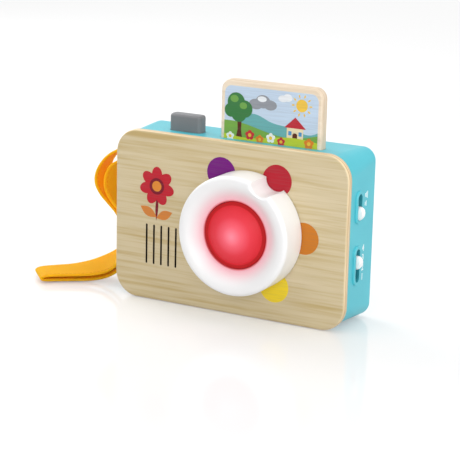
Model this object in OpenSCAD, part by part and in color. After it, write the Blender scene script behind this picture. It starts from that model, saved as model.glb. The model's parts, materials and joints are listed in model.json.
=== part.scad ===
// Toy camera: a wooden front panel on a moulded rear shell, with a turning dial, a lamp dome,
// a shutter button, a sliding picture board, two slide switches and a wrist strap.
// Millimetres. X to the right, Y to the back, Z up. The origin is the middle of the panel's bottom edge.

/* [Front panel] */
// Width of the wooden panel
panel_w = 150; // [140:1:170]
// Height of the wooden panel
panel_h = 101; // [98:0.5:115]
// Thickness of the wooden panel
panel_t = 5; // [4:0.5:7]
// Corner radius of the panel's outline
panel_corner_r = 14.5; // [12:0.5:18]
// Rounding of the panel's edges
panel_edge_r = 1.2; // [0.5:0.1:1.8]

/* [Rear shell] */
// Depth from the panel's front face to the shell's back
body_d = 40; // [39:0.5:50]
// Step from the panel's outline in to the shell
shell_inset = 1; // [0.6:0.1:1.4]
// Wall of the shell
shell_wall = 2.4; // [2:0.1:3]
// Rounding of the shell's back edge
shell_back_r = 3; // [2:0.25:4]
// Radius of the shell's corners at its back, seen from behind
shell_back_corner_r = 8; // [4:0.5:13]
// Radius of the case screw bosses
boss_r = 4; // [3.6:0.1:4.4]

/* [Dial] */
// Dial axis, to the right of the panel's middle
dial_x = 13.2; // [10:0.2:16]
// Dial axis above the panel's bottom
dial_z = 51.5; // [48:0.5:54]
// Outer radius of the dial
dial_r = 34.5; // [33.5:0.25:37]
// How far the dial stands out from the panel
dial_h = 20; // [18.5:0.5:24]
// Rounding of the dial's front edge
dial_edge_r = 2.6; // [1.5:0.1:3]
// Depth of the dish in the dial's face
dish_depth = 5; // [3.5:0.25:6]
// Wall of the dial
dial_wall = 2.6; // [2:0.1:3]
// Radius of the thumb notch
notch_r = 7.2; // [5:0.2:8]
// Distance of the thumb notch from the dial's axis
notch_at = 37; // [36.5:0.25:39]
// Direction of the thumb notch
notch_angle = 60; // [0:60:300]

/* [Lamp] */
// Radius of the lamp dome
dome_r = 16.6; // [14:0.2:17]
// Rise of the lamp dome
dome_rise = 4.5; // [3:0.25:6]
// Radius of the dome's flange
dome_flange_r = 18.9; // [18:0.1:19]
// Thickness of the dome's flange
dome_flange_t = 2; // [1.5:0.25:2.5]

/* [Speaker] */
// Speaker axis, from the panel's left side
speaker_in = 31.3; // [29:0.1:33]
// Speaker axis above the panel's bottom
speaker_z = 33.8; // [31:0.2:36]
// Outer radius of the speaker
speaker_r = 20; // [18:0.5:21]
// Number of sound slots
slot_count = 5; // [3:1:7]
// Pitch of the sound slots
slot_pitch = 4.95; // [4:0.05:5.5]
// Width of a sound slot
slot_w = 1.2; // [0.8:0.1:2]
// Length of a sound slot
slot_l = 24; // [18:0.5:28]

/* [Picture board] */
// Width of the picture board
board_w = 64.5; // [58:0.5:65]
// Height of the picture board
board_h = 50; // [46:0.5:56]
// Thickness of the picture board
board_t = 6.5; // [5:0.25:7.5]
// Corner radius of the picture board
board_corner_r = 6.5; // [4:0.5:8]
// Middle of the picture board, from the panel's right side
board_in = 55.8; // [55:0.1:57]
// Front face of the picture board, behind the panel's back face
board_set = 8.2; // [7.5:0.1:9.5]
// How far the board stands out of the shell
board_up = 34.3; // [30:0.25:36]
// Travel of the picture board
board_travel = 30; // [20:1:30]

/* [Shutter button] */
// Width of the shutter button
button_w = 21; // [17:0.5:22]
// Depth of the shutter button
button_d = 8; // [7:0.5:10]
// Height of the button above the shell
button_up = 10; // [8:0.5:12]
// Middle of the button, from the panel's left side
button_in = 37.4; // [36.5:0.1:38.5]
// Middle of the button, behind the panel's back face
button_set = 13.7; // [12.5:0.1:15]
// Travel of the shutter button
button_travel = 3; // [2:0.25:3.5]

/* [Side switches] */
// Middle of the switch slots, behind the panel's back face
switch_set = 11.5; // [10.5:0.1:13]
// Width of a switch slot
switch_slot_w = 5; // [4.5:0.25:6]
// Length of the volume slot
volume_slot_l = 15.4; // [14:0.2:17]
// Middle of the volume slot
volume_z = 69.6; // [68:0.2:71]
// Length of the mode slot
mode_slot_l = 19.3; // [18:0.1:21]
// Middle of the mode slot
mode_z = 35.9; // [35:0.1:38]
// Length of a switch knob
knob_l = 8; // [7:0.25:8.5]
// Height of a switch knob above its bezel
knob_up = 2.2; // [1.8:0.1:3]
// Height of a bezel above the shell's side
bezel_up = 1.1; // [0.6:0.1:1.4]
// Width of a bezel's rim
bezel_rim = 1.9; // [1.4:0.1:2.2]

/* [Wrist strap] */
// Width of the strap
strap_w = 19; // [16:0.5:20]
// Thickness of the strap
strap_t = 1.8; // [1.4:0.1:2.2]

/* [Power] */
// Diameter of a battery cell
cell_d = 10.5; // [10.5:0.5:11]
// Length of a battery cell
cell_l = 44.5; // [42:0.5:46]
// Number of battery cells
cell_count = 3; // [2:1:3]

/* [Clearances] */
// Gap beside the picture board in its rails and slot
board_gap = 0.4; // [0.3:0.05:0.5]
// Gap around the shutter button
button_gap = 0.4; // [0.3:0.05:0.6]
// Gap beside a switch knob in its slot
knob_gap = 0.25; // [0.2:0.05:0.4]
// Radial running gap of the dial on its hub
dial_run = 0.1; // [0.08:0.01:0.15]
// Gap behind the dial, to the panel
dial_gap = 0.6; // [0.4:0.05:0.8]
// Gap between moving faces along their axis
face_gap = 0.3; // [0.2:0.05:0.4]
// Gap of a screw in its hole
screw_gap = 0.05; // [0.03:0.01:0.1]

/* [Hidden] */
$fn = 64;
hull_fn = 32;
edge_steps = [0, 30, 60, 90];

// How far a cut runs past a face, and how far joined forms run into each other
over = 1;
fuse = 0.5;

// Panel and shell
panel_front = -panel_t / 2;
panel_back = panel_t / 2;
speaker_x = speaker_in - panel_w / 2;
board_x = panel_w / 2 - board_in;
button_x = button_in - panel_w / 2;
shell_back = panel_front + body_d;
shell_w = panel_w - 2 * shell_inset;
shell_h = panel_h - 2 * shell_inset;
shell_r = panel_corner_r - shell_inset;
shell_z = panel_h / 2;
shell_side = shell_w / 2;
shell_top = panel_h - shell_inset;
inner_top = shell_top - shell_wall;
inner_side = shell_side - shell_wall;
inner_back = shell_back - shell_wall;

// Feet under the shell's back, level with the panel's bottom edge
foot_w = 16;
foot_d = 7;
foot_sink = 0.6;
foot_in = 30;
foot_gap = 0.1;
foot_x = panel_w / 2 - foot_in;
foot_y = shell_back - shell_back_r - foot_d;

// Screws
screw_r = 1.4;
screw_head_r = 2.8;
screw_head_h = 1.6;
small_r = 1;
small_head_r = 2;
small_head_h = 1.2;
case_well = 12;
case_bite = 3.4;
case_head_h = 2;
case_hole_gap = 0.2;
case_head_gap = 0.3;
case_low = 11;
case_in = 11.5;
case_left_in = 18;
case_down = 10;
case_side = panel_w / 2 - case_in;
case_high = panel_h - case_down;
case_left = panel_w / 2 - case_left_in;
case_points = [
    [-case_side, case_low], [case_side, case_low], [-case_left, case_high], [case_side, case_high]
];
bite_room = 0.2;
recess_l = 2.4;
recess_w = 0.7;
recess_deep = 0.8;

// Dial, measured forward from the panel's front face
hub_r = 21;
hub_lip_r = 24;
hub_lip_t = 1.7;
hub_neck_r = 18.6;
hub_inner_r = 15.5;
hub_floor = 2;
hub_screw_at = 18.2;
hub_bite = 4;
wire_hole_r = 3.5;
carrier_t = 3;
carrier_clear = 2.9;
carrier_r = dial_r - dial_wall - carrier_clear;
carrier_screw_in = 3;
carrier_screw_at = carrier_r - carrier_screw_in;
carrier_bore = 6;
carrier_bite = 5;
carrier_head_gap = 0.2;
dial_bore_r = 19.6;
crest_land = 0.6;
dial_crest_r = dial_r - dial_edge_r - crest_land;
room_slope = 3;
crest_drop = 1;
dish_edge = dial_h - dish_depth;
dish_steps = 8;
dome_seat = dish_edge - dome_flange_t;
contact_t = 1;
contact_r = notch_at - notch_r - dial_wall - face_gap;
wiper_room = 1.6;
wiper_gap = 0.2;
carrier_low = contact_t + wiper_room;
carrier_top = carrier_low + carrier_t;
lip_low = carrier_top + face_gap;
lip_top = lip_low + hub_lip_t;
dial_boss_r = 3;
dial_boss_sink = 1;
wiper_w = 6;
wiper_l = 2.4;
lamp_board_r = 9;
lamp_board_t = 1.2;
lamp_r = 2.5;
lamp_h = 5;
dome_wall = 1.8;
dome_spigot = 1.5;
dome_fit = 0.2;
reflector_hole = 0.6;
reflector_t = 1;
reflector_gap = 1.2;
reflector_down = 2;

// Speaker, measured back from the panel's back face
gasket_t = 1;
gasket_w = 3;
basket_t = 1.5;
basket_d = 9;
magnet_r = 9.5;
magnet_d = 8;
magnet_gap = 0.3;
magnet_bevel = 0.5;
basket_mouth = 5;
basket_sheet = 1;
basket_step = 0.6;
basket_lip = 0.2;
cone_gap = 0.1;
cone_lip = 0.2;
cone_rim = 0.9;
cone_step = 0.6;
coil_r = 5;
coil_low = 5.4;
coil_high = 6.2;
cap_r = 4;
cap_low = 4;
cap_mid = 4.6;
cap_high = 4.8;
speaker_screw_clear = 0.4;
speaker_screw_at = speaker_r + screw_r + speaker_screw_clear;
speaker_bite = 3;

// Picture board and its cradle
board_front = panel_back + board_set;
board_y = board_front + board_t / 2;
board_top = shell_top + board_up;
board_low = board_top - board_h;
board_edge_r = 1.5;
rail_lap = 3;
rail_wall = 1.8;
rail_out = 3.4;
rail_low = board_low - board_travel - face_gap - rail_out;
rail_front = board_front - board_gap - rail_wall;
rail_back = board_front + board_t + board_gap + rail_wall;
rail_in_x = board_w / 2 - rail_lap;
rail_out_x = board_w / 2 + board_gap + rail_out;
lug_w = 5;
lug_h = 7;
lug_t = 2.6;
lug_pitch = 23.5;
lug_x = rail_in_x - lug_w / 2;
lug_front = rail_back - rail_wall;
lug_back = lug_front + lug_t;
lug_rise = [rail_low + lug_h / 2, rail_low + lug_h / 2 + lug_pitch];
lug_boss_r = 2.4;
lug_bore = 6;
lug_bite = 5;
lug_head_gap = 0.2;
pin_r = 1;
pin_out = 2.2;
pin_in = 6;
pin_up = 1.5;
pad_h = 8;
pad_down = 2;
pad_gap = 0.1;

// Shutter button
button_y = panel_back + button_set;
button_r = 2.4;
button_edge_r = 1.8;
button_top = shell_top + button_up;
flange_lap = 1.8;
flange_t = 2.4;
flange_top = inner_top - face_gap;
flange_low = flange_top - flange_t;
shelf_down = 19;
shelf_top = inner_top - shelf_down;
shelf_t = 2;
shelf_side = 4;
shelf_front = 2;
shelf_w = button_w + 2 * shelf_side;
press_board_t = 1.2;
press_board_side = 2;
press_board_front = 1;
press_board_back = 4;
press_floor = shelf_top + press_board_t;
press_can = 6;
press_can_h = 3.5;
press_tip_r = 1.7;
press_tip_h = 1.5;
press_tip_top = press_floor + press_can_h + press_tip_h;
stem_low = press_tip_top + button_travel + face_gap;
stem_thin = 0.5;
spring_in = 3.4;
spring_at = button_w / 2 - spring_in;
spring_r = 2.2;
spring_wire = 0.7;
spring_curls = 5;
spring_rings = 8;
spring_sides = 6;
spring_end_gap = 0.05;
spring_low = press_floor + spring_wire / 2 + spring_end_gap;
spring_high = flange_low - spring_wire / 2 - spring_end_gap;

// Side switches
switch_y = panel_back + switch_set;
bezel_face = shell_side + bezel_up;
knob_w = switch_slot_w - 2 * knob_gap;
knob_end = bezel_face + knob_up;
knob_round = (pow(knob_l / 2, 2) + pow(knob_up, 2)) / (2 * knob_up);
carriage_t = 1.7;
carriage_out = inner_side - face_gap;
carriage_in = carriage_out - carriage_t;
carriage_lap = 1.5;
carriage_over = 1;
carriage_w = switch_slot_w + 2 * carriage_lap;
prong_w = 2;
prong_l = 3;
can_face = carriage_in - face_gap;
can_d = 5;
can_w = 8;
can_back = can_face - can_d;
side_board_t = 1.2;
can_end = 4;
side_board_front_lap = 2;
side_board_back_lap = 8;
side_board_low = mode_z - mode_slot_l / 2 - can_end;
side_board_high = volume_z + volume_slot_l / 2 + can_end;
side_board_front = switch_y - can_w / 2 - side_board_front_lap;
side_board_back = switch_y + can_w / 2 + side_board_back_lap;
side_post_r = 2.4;
side_post_in = 3;
side_post_up = 5;
side_bore = 6;
side_bite = 5;
side_post_y = side_board_back - side_post_in;
side_post_z = [side_board_low + side_post_up, side_board_high - side_post_up];
volume_travel = volume_slot_l - knob_l - 2 * knob_gap;
volume_knob_z = volume_z - volume_travel / 2;
mode_travel = mode_slot_l - knob_l - 2 * knob_gap;
mode_places = 4;
mode_place = 2;
mode_knob_z = mode_z - mode_travel / 2 + mode_place * mode_travel / (mode_places - 1);

// Boards and power
main_w = 44;
main_h = 32;
main_t = 1.6;
main_x = speaker_x;
main_up = 2;
main_z = speaker_z + main_up;
main_stand = 2;
main_back = inner_back - main_stand;
main_front = main_back - main_t;
main_post_r = 2.6;
main_screw_in = 3.5;
main_screw_x = main_w / 2 - main_screw_in;
main_screw_z = main_h / 2 - main_screw_in;
main_bore = 3.2;
main_bite = 3;
chip_w = 14;
chip_t = 2;
socket_w = 10;
socket_h = 5;
socket_d = 5;
socket_out = 6;
socket_rise = 8;
cell_space = 1;
cell_pitch = cell_d + cell_space;
cell_gap = 0.3;
cell_tip_r = 1.9;
cell_tip_h = 0.6;
contact_sheet = 0.5;
contact_reach = 1.4;
contact_plate = 8;
contact_coil_r = 3;
contact_gap = 0.1;
well_wall = 2;
well_l = cell_l + 2 * (contact_sheet + contact_reach + contact_gap);
well_h = cell_count * cell_pitch + cell_space;
well_x = dial_x;
well_z = 30;
well_spare = 2;
well_floor = inner_back - cell_d - well_spare;
cell_y = well_floor + cell_gap + cell_d / 2;
door_lap = 2;
door_t = 1.4;
door_gap = 0.2;
door_tab = 7;
door_w = well_l + 2 * (well_wall + door_tab);
door_h = well_h + 2 * door_lap;
door_r = 4;
door_face = shell_back - door_t;
door_screw_out = 0.5;
door_screw_x = door_w / 2 - door_tab / 2 - door_screw_out;
door_boss_r = 3;
door_boss_more = 2;
door_bite = 6;
door_bite_room = 0.5;
door_hole_gap = 0.15;
door_head_h = 0.7;
door_head_gap = 0.2;
groove_count = 5;
groove_pitch = 3;
groove_w = 1.2;
groove_l = 12;
groove_deep = 0.5;

// Strap anchor and route. Each point of the route has its place, the turn of the strap's width
// from the Y direction as seen from above, and how far its front edge leans down, in degrees.
bar_r = 2;
bar_in = 6;
bar_set = 17.5;
bar_x = -(shell_side - bar_in);
bar_y = panel_back + bar_set;
bar_z = 82.5;
ear_t = 2.3;
ear_r = 4;
strap_gate_h = 9.6;
strap_side_gap = 0.6;
bar_reach = strap_w / 2 + strap_side_gap + ear_t;
strap_ring_steps = 2;
strap_route = [
    [-64.9, 20, 83.6, 0, 0], [-66.2, 20, 85.3, 0, 0], [-69, 20, 85.6, 0, 0], [-75, 20, 85.5, 2, 0],
    [-82.6, 20, 84, 8, 0], [-89.6, 20, 80.6, 10, 0], [-95, 20, 75.2, 8, 0], [-98.2, 20, 68.4, 4, 0],
    [-98, 20, 61.6, 0, 0], [-94.6, 20, 55.6, 0, 0], [-89, 20, 50.4, 0, 0], [-83.2, 20, 45, 0, 0],
    [-80, 20, 38.4, 0, 0], [-79.3, 20, 30.8, 0, 4], [-81.4, 20, 22.8, 4, 20], [-86.6, 20, 16, 10, 33],
    [-94.4, 19.2, 10.4, 20, 26], [-103.2, 15.6, 7, 28, 15], [-112.4, 10, 5.4, 33, 7], [-121.4, 3.6, 4.9, 38, 4],
    [-127.6, -1.8, 4.5, 43, 3], [-129.6, -3.7, 3, 45, 3], [-127.4, -1.4, 2, 43, 3], [-121.4, 3.9, 1.9, 38, 4],
    [-112.4, 10.5, 2.3, 33, 7], [-102.9, 16.8, 3.7, 28, 15], [-93.4, 21, 7.6, 20, 26], [-84.7, 21.8, 13.8, 10, 33],
    [-77.2, 20, 20.6, 4, 20], [-76, 20, 31, 0, 3], [-79.6, 20, 44.2, 0, 0], [-84.6, 20, 50.4, 0, 0],
    [-88.2, 20, 57, 0, 0], [-88.8, 20, 64.4, 0, 0], [-86.2, 20, 72, 0, 0], [-81.4, 20, 76.9, 0, 0],
    [-75.5, 20, 79, 0, 0], [-69, 20, 79.4, 0, 0], [-66.2, 20, 79.7, 0, 0], [-64.9, 20, 81.4, 0, 0]
];

// Leads from the main board to the speaker, lamp and shutter switch
lead_r = 0.7;
lead_sides = 6;
lead_gap = 2;
lead_end_gap = 0.3;
lead_start_y = main_front - socket_d - lead_end_gap;

// A rounded rectangle about the origin
module rounded_rect(w, h, r, fn = $fn) {
    square([w - 2 * r, h], center = true);
    square([w, h - 2 * r], center = true);
    for (x = [-1, 1], y = [-1, 1])
        translate([x * (w / 2 - r), y * (h / 2 - r)]) circle(r = r, $fn = fn);
}

// A slot with round ends, long side up
module stadium(w, l) {
    square([w, l - w], center = true);
    for (y = [-1, 1])
        translate([0, y * (l - w) / 2]) circle(d = w);
}

// An outline in X and Z, raised from the plane y forward by t
module forward(y, t) {
    translate([0, y, 0]) rotate([90, 0, 0]) linear_extrude(t) children();
}

// An outline in Y and Z, raised from the plane x to the right by t
module rightward(x, t) {
    translate([x, 0, 0]) rotate([90, 0, 90]) linear_extrude(t) children();
}

// A profile of radius and forward distance, turned about an axis that leaves the panel's front
module turned_front() {
    translate([dial_x, panel_front, dial_z]) rotate([90, 0, 0]) rotate_extrude($fn = 128) children();
}

// A profile of radius and backward distance, turned about the speaker's axis
module turned_back() {
    translate([speaker_x, panel_back, speaker_z]) rotate([-90, 0, 0]) rotate_extrude($fn = 96) children();
}

// A round rod along Y, from y0 to y1
module rod_y(x, z, y0, y1, r) {
    translate([x, y1, z]) rotate([90, 0, 0]) cylinder(r = r, h = y1 - y0);
}

// A round rod along X, from x0 to x1
module rod_x(y, z, x0, x1, r) {
    translate([x0, y, z]) rotate([0, 90, 0]) cylinder(r = r, h = x1 - x0);
}

// A box between two corners
module block(low, high) {
    translate(low) cube(high - low);
}

// A slab about y = 0 with its front and back edges rounded by e
module soft_slab(w, h, r, t, e) {
    hull()
        for (a = edge_steps)
            let (side = e * (1 - cos(a)), deep = t - 2 * e * (1 - sin(a)))
                forward(deep / 2, deep)
                    rounded_rect(w - 2 * side, h - 2 * side, r - side, hull_fn);
}

// The place of hole k of n on a circle about the dial's axis
function on_dial(k, n, at, turn) =
    let (a = turn + k * 360 / n) [dial_x + at * cos(a), dial_z + at * sin(a)];

// The place of hole k of n on a circle about the speaker's axis
function on_speaker(k, n, at) =
    let (a = 30 + k * 360 / n) [speaker_x + at * cos(a), speaker_z + at * sin(a)];

// Vector helpers for the swept forms
function unit(v) = v / norm(v);
function bend(p, q, r, s, t) = 0.5 * (2 * q + (r - p) * t + (2 * p - 5 * q + 4 * r - s) * t * t
    + (3 * q - p - 3 * r + s) * t * t * t);
function picked(list, i) = list[max(0, min(len(list) - 1, i))];

// A smooth line through the points, with n steps from each point to the next
function smooth(points, n) = [
    for (i = [0 : len(points) - 2], k = [0 : n - 1])
        bend(picked(points, i - 1), points[i], points[i + 1], picked(points, i + 2), k / n),
    points[len(points) - 1]
];
function place(p) = [p[0], p[1], p[2]];
function heading(line, i) = unit(place(picked(line, i + 1)) - place(picked(line, i - 1)));

// A closed tube through rings of equal count, with end caps
module skin_rings(rings) {
    n = len(rings[0]);
    last = (len(rings) - 1) * n;
    points = [for (ring = rings, p = ring) p];
    sides = [
        for (i = [0 : len(rings) - 2], k = [0 : n - 1], half = [0, 1])
            half == 0
                ? [i * n + k, i * n + (k + 1) % n, (i + 1) * n + k]
                : [i * n + (k + 1) % n, (i + 1) * n + (k + 1) % n, (i + 1) * n + k]
    ];
    caps = [
        for (k = [1 : n - 2]) [0, k + 1, k],
        for (k = [1 : n - 2]) [last, last + k, last + k + 1]
    ];
    polyhedron(points, concat(sides, caps));
}

// A round ring of points about a place on a line, square to its heading
function wire_ring(p, t, r, sides, side_way) =
    let (u = unit(cross(t, side_way)), v = cross(t, u))
    [for (k = [0 : sides - 1]) p + r * (u * cos(k * 360 / sides) + v * sin(k * 360 / sides))];

// The flat ring of the strap at a place on its line
function strap_ring(p, t) =
    let (
        across = [sin(p[3]) * cos(p[4]), -cos(p[3]) * cos(p[4]), -sin(p[4])],
        w = unit(across - (across * t) * t),
        n = cross(t, w),
        half_w = strap_w / 2,
        half_t = strap_t / 2,
        cut = strap_t / 3
    )
    [
        for (c = [
            [half_w - cut, half_t], [-half_w + cut, half_t],
            [-half_w, half_t - cut], [-half_w, -half_t + cut],
            [-half_w + cut, -half_t], [half_w - cut, -half_t],
            [half_w, -half_t + cut], [half_w, half_t - cut]
        ]) place(p) + w * c[0] + n * c[1]
    ];

module front_panel() {
    color("#d2c3a0")
    difference() {
        translate([0, 0, panel_h / 2])
            soft_slab(panel_w, panel_h, panel_corner_r, panel_t, panel_edge_r);
        forward(panel_back + over, panel_t + 2 * over)
            for (i = [0 : slot_count - 1])
                translate([speaker_x + (i - (slot_count - 1) / 2) * slot_pitch, speaker_z])
                    stadium(slot_w, slot_l);
        rod_y(dial_x, dial_z, panel_front - over, panel_back + over, wire_hole_r);
        for (k = [0 : 2]) {
            hole = on_dial(k, 3, hub_screw_at, 90);
            rod_y(hole[0], hole[1], panel_front - over, panel_back + over, screw_r + screw_gap);
            rod_y(hole[0], hole[1], panel_back - screw_head_h, panel_back + over, screw_head_r + screw_gap);
        }
        for (hole = case_points)
            rod_y(hole[0], hole[1], panel_back - case_bite - bite_room, panel_back + over, screw_r + screw_gap);
        for (k = [0 : 2]) {
            hole = on_speaker(k, 3, speaker_screw_at);
            rod_y(hole[0], hole[1], panel_back - speaker_bite - bite_room, panel_back + over,
                screw_r + screw_gap);
        }
    }
}

// The shell's outer form, rounded along its back edge
module shell_outer() {
    translate([0, 0, shell_z])
        hull() {
            forward(panel_back + fuse, fuse)
                rounded_rect(shell_w, shell_h, shell_r, hull_fn);
            for (a = edge_steps) {
                step = shell_back_r * (1 - cos(a));
                end = shell_back - shell_back_r * (1 - sin(a));
                forward(end, fuse)
                    rounded_rect(shell_w - 2 * step, shell_h - 2 * step, shell_back_corner_r - step, hull_fn);
            }
        }
}

module shell_hollow() {
    translate([0, 0, shell_z])
        forward(inner_back, inner_back - panel_back + over)
            rounded_rect(shell_w - 2 * shell_wall, shell_h - 2 * shell_wall, shell_r - shell_wall);
}

// Bosses, posts and walls that stand on the inside of the shell
module shell_inside() {
    for (p = case_points)
        rod_y(p[0], p[1], panel_back, inner_back + fuse, boss_r);
    for (x = [-1, 1], z = lug_rise)
        rod_y(board_x + x * lug_x, z, lug_back, inner_back + fuse, lug_boss_r);
    for (x = [-1, 1], z = [-1, 1])
        rod_y(main_x + x * main_screw_x, main_z + z * main_screw_z, main_back, inner_back + fuse,
            main_post_r);
    for (z = side_post_z)
        rod_x(side_post_y, z, can_back, inner_side + fuse, side_post_r);
    block([button_x - shelf_w / 2, button_y - button_d / 2 - shelf_front, shelf_top - shelf_t],
        [button_x + shelf_w / 2, inner_back + fuse, shelf_top]);
    block([well_x - well_l / 2 - well_wall, well_floor - well_wall, well_z - well_h / 2 - well_wall],
        [well_x + well_l / 2 + well_wall, inner_back + fuse, well_z + well_h / 2 + well_wall]);
    for (x = [-1, 1])
        rod_y(well_x + x * door_screw_x, well_z, door_face - door_bite - door_boss_more,
            inner_back + fuse, door_boss_r);
    for (y = [-1, 1])
        strap_ear(y);
}

// One ear that holds an end of the strap's bar
module strap_ear(way) {
    near = strap_w / 2 + strap_side_gap;
    y0 = way > 0 ? bar_y + near : bar_y - near - ear_t;
    block([-inner_side - fuse, y0, bar_z - ear_r], [bar_x, y0 + ear_t, bar_z + ear_r]);
    rod_y(bar_x, bar_z, y0, y0 + ear_t, ear_r);
}

// The raised rim around a switch slot
module bezel(z, l) {
    rightward(inner_side + fuse, bezel_face - inner_side - fuse)
        translate([switch_y, z]) stadium(switch_slot_w + 2 * bezel_rim, l + 2 * bezel_rim);
}

module switch_cut(z, l) {
    rightward(inner_side - over, bezel_face - inner_side + 2 * over)
        translate([switch_y, z]) stadium(switch_slot_w, l);
}

module rear_shell() {
    color("#76c8d4")
    difference() {
        union() {
            difference() {
                shell_outer();
                shell_hollow();
            }
            intersection() {
                shell_outer();
                shell_inside();
            }
            bezel(volume_z, volume_slot_l);
            bezel(mode_z, mode_slot_l);
        }
        switch_cut(volume_z, volume_slot_l);
        switch_cut(mode_z, mode_slot_l);
        translate([board_x, board_y, inner_top - over])
            linear_extrude(shell_wall + 2 * over)
                rounded_rect(board_w + 2 * board_gap, board_t + 2 * board_gap, board_edge_r + board_gap);
        translate([button_x, button_y, inner_top - over])
            linear_extrude(shell_wall + 2 * over)
                rounded_rect(button_w + 2 * button_gap, button_d + 2 * button_gap, button_r + button_gap);
        block([-shell_side - over, bar_y - strap_w / 2 - strap_side_gap, bar_z - strap_gate_h / 2],
            [-inner_side + fuse, bar_y + strap_w / 2 + strap_side_gap, bar_z + strap_gate_h / 2]);
        rod_y(bar_x, bar_z, bar_y - bar_reach, bar_y + bar_reach, bar_r + screw_gap);
        for (p = case_points) {
            rod_y(p[0], p[1], panel_back - over, shell_back + over, screw_r + case_hole_gap);
            rod_y(p[0], p[1], shell_back - case_well, shell_back + over, screw_head_r + case_head_gap);
        }
        for (x = [-1, 1], z = lug_rise)
            rod_y(board_x + x * lug_x, z, lug_back - over, lug_back + lug_bore, small_r + screw_gap);
        for (x = [-1, 1], z = [-1, 1])
            rod_y(main_x + x * main_screw_x, main_z + z * main_screw_z, main_back - over,
                main_back + main_bore, small_r + screw_gap);
        for (z = side_post_z)
            rod_x(side_post_y, z, can_back - over, can_back + side_bore, small_r + screw_gap);
        block([well_x - well_l / 2, well_floor, well_z - well_h / 2],
            [well_x + well_l / 2, shell_back + over, well_z + well_h / 2]);
        translate([well_x, 0, well_z])
            forward(shell_back + over, door_t + over)
                rounded_rect(door_w + 2 * door_gap, door_h + 2 * door_gap, door_r + door_gap);
        for (x = [-1, 1])
            rod_y(well_x + x * door_screw_x, well_z, door_face - door_bite, shell_back, small_r + screw_gap);
        for (x = [-1, 1])
            foot_block(x, foot_gap, foot_sink);
    }
}

// The place of a foot, and with a gap the recess that it sits in
module foot_block(x, gap, sink) {
    block([x * foot_x - foot_w / 2 - gap, foot_y - gap, 0],
        [x * foot_x + foot_w / 2 + gap, foot_y + foot_d + gap, shell_inset + sink]);
}

module rear_feet() {
    color("#e8eef0")
    for (x = [-1, 1])
        foot_block(x, 0, foot_sink);
}

module case_screws() {
    color("silver")
    for (p = case_points) {
        rod_y(p[0], p[1], panel_back - case_bite, shell_back - case_well, screw_r);
        difference() {
            rod_y(p[0], p[1], shell_back - case_well, shell_back - case_well + case_head_h, screw_head_r);
            cross_recess(p[0], shell_back - case_well + case_head_h, p[1]);
        }
    }
}

// A cross recess in a screw head whose face is at y
module cross_recess(x, y, z) {
    for (turn = [0, 90])
        translate([x, y, z]) rotate([0, turn, 0]) cube([recess_l, 2 * recess_deep, recess_w], center = true);
}

// The dial's full profile, from its bore to its outer edge
module dial_profile(low) {
    polygon(concat(
        [[dial_bore_r, low], [dial_r, low]],
        [for (a = [0 : 15 : 90])
            [dial_r - dial_edge_r * (1 - cos(a)), dial_h - dial_edge_r * (1 - sin(a))]],
        [for (i = [0 : dish_steps])
            [dial_crest_r - (dial_crest_r - dial_bore_r) * i / dish_steps,
                dial_h - dish_depth * (1 - cos(180 * i / dish_steps)) / 2]]
    ));
}

// The room inside the dial, behind its face
module dial_room() {
    polygon([
        [dial_bore_r + dial_wall, dial_gap - over], [dial_r - dial_wall, dial_gap - over],
        [dial_r - dial_wall, dial_h - dial_edge_r - dial_wall],
        [dial_crest_r - dial_wall, dial_h - dial_wall - crest_drop],
        [dial_bore_r + dial_wall + room_slope, dish_edge - dial_wall],
        [dial_bore_r + dial_wall, dish_edge - dial_wall]
    ]);
}

module notch_rod(r) {
    rod_y(dial_x + notch_at * cos(notch_angle), dial_z + notch_at * sin(notch_angle),
        panel_front - dial_h - over, panel_front - dial_gap + screw_gap, r);
}

module dial_ring() {
    color("#f4f4f4")
    difference() {
        union() {
            difference() {
                turned_front() dial_profile(dial_gap);
                turned_front() dial_room();
            }
            intersection() {
                turned_front() dial_profile(dial_gap);
                notch_rod(notch_r + dial_wall);
            }
            for (k = [0 : 2]) {
                hole = on_dial(k, 3, carrier_screw_at, 0);
                rod_y(hole[0], hole[1], panel_front - dish_edge + dial_boss_sink, panel_front - carrier_top,
                    dial_boss_r);
            }
        }
        notch_rod(notch_r);
        turned_front() polygon([[0, dial_gap - over], [hub_lip_r + face_gap, dial_gap - over],
            [hub_lip_r + face_gap, lip_top + face_gap], [0, lip_top + face_gap]]);
        for (k = [0 : 2]) {
            hole = on_dial(k, 3, carrier_screw_at, 0);
            rod_y(hole[0], hole[1], panel_front - carrier_top - carrier_bore, panel_front - carrier_top + over,
                small_r + screw_gap);
        }
    }
}

module dial_carrier() {
    color("#e9e9e9")
    difference() {
        turned_front() polygon([[hub_r + dial_run, carrier_low], [carrier_r, carrier_low],
            [carrier_r, carrier_top], [hub_r + dial_run, carrier_top]]);
        notch_rod(notch_r + dial_wall + screw_gap);
        for (k = [0 : 2]) {
            hole = on_dial(k, 3, carrier_screw_at, 0);
            rod_y(hole[0], hole[1], panel_front - carrier_top - over, panel_front - carrier_low + over,
                small_r + screw_gap);
            rod_y(hole[0], hole[1], panel_front - carrier_low - small_head_h, panel_front - carrier_low + over,
                small_head_r + carrier_head_gap);
        }
    }
}

module carrier_screws() {
    seat = panel_front - carrier_low - small_head_h;
    color("silver")
    for (k = [0 : 2]) {
        hole = on_dial(k, 3, carrier_screw_at, 0);
        rod_y(hole[0], hole[1], panel_front - carrier_top - carrier_bite, seat, small_r);
        rod_y(hole[0], hole[1], seat, seat + small_head_h, small_head_r);
    }
}

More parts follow.
